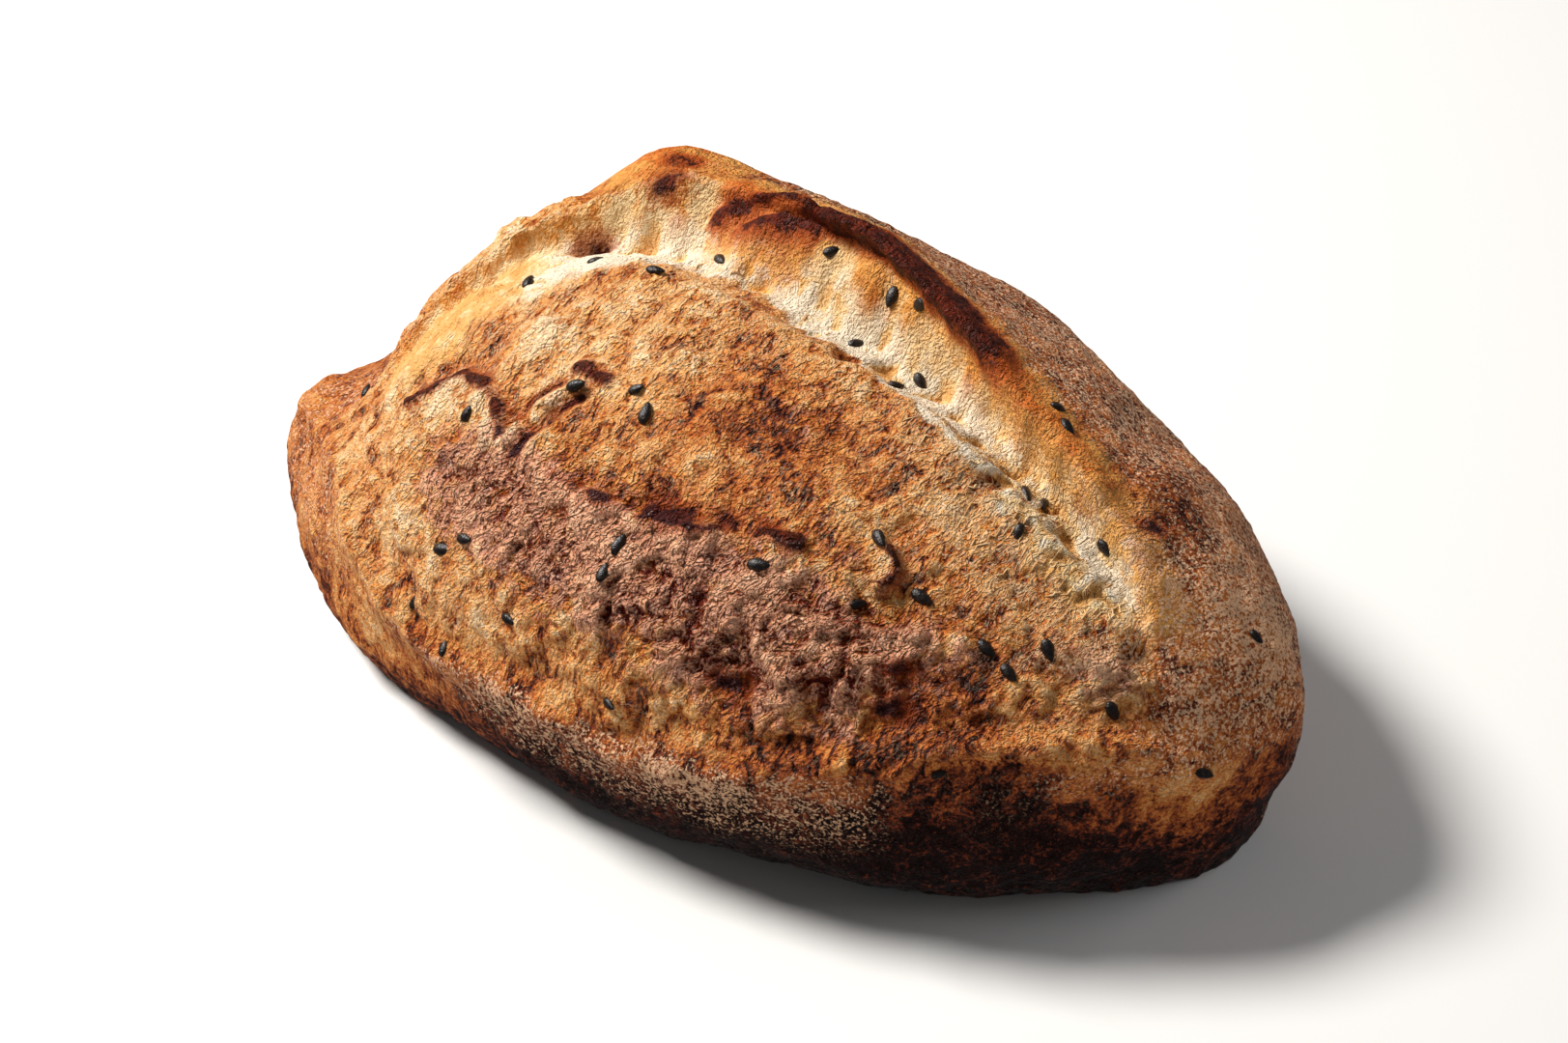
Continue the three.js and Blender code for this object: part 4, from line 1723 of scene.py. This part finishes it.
    def with_ear(self, graph: Graph, by: Textures, colour: Shade) -> Shade:
        """Adds the rust and gold below the ear's crest and on the lobe.

        Args:
            graph: The material's node tree.
            by: The fields and noises in that tree.
            colour: The colour so far.

        Returns:
            The colour with it.
        """
        rust = (by.edge + (by.mottle - 0.5) * 0.9).step(0.25, 0.75)
        gilt = by.fleck * 0.6 + by.mottle * 0.6 + by.patches * 0.4 + 0.25
        gilt = (gilt - by.edge * 0.45 - by.char * 0.4).step(0.5, 0.85)
        return graph.mix(rust * 0.92, colour, graph.mix(gilt, self.ear_rust, self.ear_gold))

    def with_flour(self, graph: Graph, by: Textures, colour: Shade) -> Shade:
        """Adds the speckled flour.

        Args:
            graph: The material's node tree.
            by: The fields and noises in that tree.
            colour: The colour so far.

        Returns:
            The colour with it.
        """
        dusting = by.flour * 0.9 + (by.dust - 0.5) * 3.2 + (by.speck - 0.5) * 2.8
        dusting = (dusting + (by.mottle - 0.5) * 0.5).step(0.25, 0.85) * 0.85
        powder = graph.mix(by.bake.step(0.6, 0.85), self.flour_light, self.flour_grey)
        return graph.mix(dusting * by.flour.step(0.02, 0.25), colour, powder)

    def with_char(self, graph: Graph, by: Textures, colour: Shade) -> Shade:
        """Adds the scorched edges and the painted shade that shares their mask: rust-brown round them,
        and nearly black inside.

        Args:
            graph: The material's node tree.
            by: The fields and noises in that tree.
            colour: The colour so far.

        Returns:
            The colour with it.
        """
        burnt_and_shaded = by.char + (by.fleck - 0.5) * 0.5 + (by.mottle - 0.5) * 0.7
        colour = graph.mix(burnt_and_shaded.step(0.1, 0.5) * 0.7, colour, self.char_and_shade_rust)
        black = (by.mottle * 1.4 + by.fleck).step(0.95, 1.4)
        scorch_and_shade = graph.mix(black, self.char_and_shade_brown, self.char_and_shade_black)
        scorch_and_shade = graph.mix(by.dusk.step(0.2, 0.6) * 0.85, scorch_and_shade, self.char_and_shade_plum)
        return graph.mix(burnt_and_shaded.step(0.45, 0.85) * 0.95, colour, scorch_and_shade)

    def bumps(self, by: Textures) -> Shade:
        """The height of the finest wrinkles, grains and strands.

        Args:
            by: The fields and noises in that tree.

        Returns:
            The height that the bump reads.
        """
        soft = (1.0 - by.crumb * 0.8 - by.wall * 0.6).clamped()
        folded = by.wrinkle * (by.dusk * 2.0 - by.web * 0.4 + 0.5)
        folded = folded + by.crinkle * (by.dusk * 0.9 + 0.35) - by.crease + by.mottle * 0.7
        grains = by.fleck * (by.dusk * 0.3 + 1.2) + by.dust * (by.flour * 0.6 + by.dusk * 0.4 + 0.75)
        return folded * soft + grains + by.strand * (by.web * 0.8 + 0.3)


@dataclass(frozen=True)
class SeedFinish:
    """Toasted seed: nearly black, satin, with a few browner flecks."""

    dark: Colour = paint(15, 12, 12)
    light: Colour = paint(50, 34, 26)
    bump_depth: float = 0.2

    def material(self) -> bpy.types.Material:
        """The seeds' material.

        Returns:
            The material.
        """
        graph = Graph("toasted_seed")
        fleck = graph.noise(0.9, 4.0)
        inputs = {"Strength": 0.8, "Distance": self.bump_depth * MM, "Height": graph.noise(0.35, 2.0)}
        bump = graph.node("ShaderNodeBump", {}, inputs)
        colour = graph.mix(fleck.step(0.45, 0.7), self.dark, self.light)
        return graph.finish({"Base Color": colour, "Roughness": 0.26 + fleck * 0.2, "Normal": bump})


@dataclass(frozen=True)
class ThreadFinish:
    """Pulled crumb: pale, a little toasted."""

    pale: Colour = paint(236, 206, 156)
    toasted: Colour = paint(206, 150, 88)

    def material(self) -> bpy.types.Material:
        """The threads' material.

        Returns:
            The material.
        """
        graph = Graph("pulled_crumb")
        tone = graph.noise(3.0)
        colour = graph.mix(tone.step(0.4, 0.6), self.pale, self.toasted)
        return graph.finish({"Base Color": colour, "Roughness": 0.6 + tone * 0.2})


@dataclass(frozen=True)
class FloorFinish:
    """Plain pale studio floor."""

    pale: Colour = paint(236, 235, 233)

    def material(self) -> bpy.types.Material:
        """The floor's material."""
        graph = Graph("studio_floor")
        return graph.finish({"Base Color": self.pale, "Roughness": 0.9, "Specular IOR Level": 0.1})


# ---- Studio ----


class Lamp(Enum):
    """The studio's lights: direction of each from the loaf, distance, size, power and colour."""

    KEY = ((-0.62, -0.10, 0.78), 1.25, 0.40, 24.0, (1.0, 0.975, 0.94))
    SKY = ((0.6, 0.42, 0.68), 1.6, 1.1, 4.8, (0.97, 0.98, 1.0))


@dataclass
class Studio:
    """Floor, lights and camera."""

    azimuth: float = 30.6
    elevation: float = 39.5
    distance: float = 695.2
    aim: tuple[float, float, float] = (-5.0, 0.0, 40.0)
    aside: float = 2.1
    lowered: float = 8.5
    focal: float = 80.0
    sensor: float = 36.0
    clip: tuple[float, float] = (0.05, 20.0)
    floor_size: float = 6.0
    world_strength: float = 0.10

    def build(self, shift: Array) -> None:
        """Sets up the studio round the loaf.

        Args:
            shift: How far the loaf was moved from its own drawing place, in millimetres.
        """
        self.lay_floor()
        self.hang_lamps()
        self.light_world()
        self.place_camera(Vector(self.aim) + Vector(shift))

    def lay_floor(self) -> None:
        """Lays a wide pale floor."""
        bm = bmesh.new()
        bmesh.ops.create_grid(bm, x_segments=4, y_segments=4, size=self.floor_size / 2)
        floor = finished(bm, "floor", smooth_faces=False)
        floor.data.materials.append(FloorFinish().material())
        floor.visible_glossy = False

    def hang_lamps(self) -> None:
        """Hangs the soft lights."""
        for lamp in Lamp:
            way, far, size, power, colour = lamp.value
            light = bpy.data.lights.new(lamp.name.lower(), "AREA")
            light.shape = "DISK"
            light.size = size
            light.energy = power
            light.color = colour
            holder = bpy.data.objects.new(light.name, light)
            direction = Vector(way).normalized()
            holder.location = direction * far
            holder.rotation_mode = "QUATERNION"
            holder.rotation_quaternion = direction.to_track_quat("Z", "Y")
            holder.visible_glossy = lamp is Lamp.KEY
            bpy.context.scene.collection.objects.link(holder)

    def light_world(self) -> None:
        """Makes the room round the loaf plain and pale."""
        world = bpy.data.worlds.new("room")
        world.use_nodes = True
        background = world.node_tree.nodes["Background"]
        background.inputs["Color"].default_value = (1.0, 1.0, 1.0, 1.0)
        background.inputs["Strength"].default_value = self.world_strength
        bpy.context.scene.world = world
        bpy.context.scene.view_settings.view_transform = "Standard"

    def place_camera(self, aim: Vector) -> None:
        """Puts the camera where it sees the loaf from near, left of its tip and above.

        Args:
            aim: The middle of what it looks at, in millimetres.
        """
        turn, rise = math.radians(self.azimuth), math.radians(self.elevation)
        out = math.cos(rise)
        back = Vector((math.sin(turn) * out, -math.cos(turn) * out, math.sin(rise)))
        right = Vector((math.cos(turn), math.sin(turn), 0.0))
        up = back.cross(right)
        target = aim + right * self.aside - up * self.lowered
        data = bpy.data.cameras.new("camera")
        data.lens = self.focal
        data.sensor_width = self.sensor
        data.clip_start, data.clip_end = self.clip
        camera = bpy.data.objects.new("camera", data)
        camera.location = (target + back * self.distance) * MM
        camera.rotation_mode = "QUATERNION"
        camera.rotation_quaternion = back.to_track_quat("Z", "Y")
        bpy.context.scene.collection.objects.link(camera)
        bpy.context.scene.camera = camera


def dress(piece: bpy.types.Object, material: bpy.types.Material) -> None:
    """Gives a piece its material and its body, and reports it.

    Args:
        piece: The piece.
        material: Its finish.
    """
    piece.data.materials.clear()
    piece.data.materials.append(material)
    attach(piece, "root")
    LOG.info("%s: %d faces", piece.name, len(piece.data.polygons))


def main() -> None:
    """Builds the loaf and its studio."""
    logging.basicConfig(level=logging.INFO, format="%(message)s")
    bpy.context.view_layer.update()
    crust = Crust(Baking())
    skin = crust.build()
    dress(skin, CrustFinish().material())
    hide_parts("loaf")
    dress(Seeds(crust).build(), SeedFinish().material())
    dress(Threads(crust).build(), ThreadFinish().material())
    Studio().build(crust.shift)


if __name__ == "__main__":
    main()
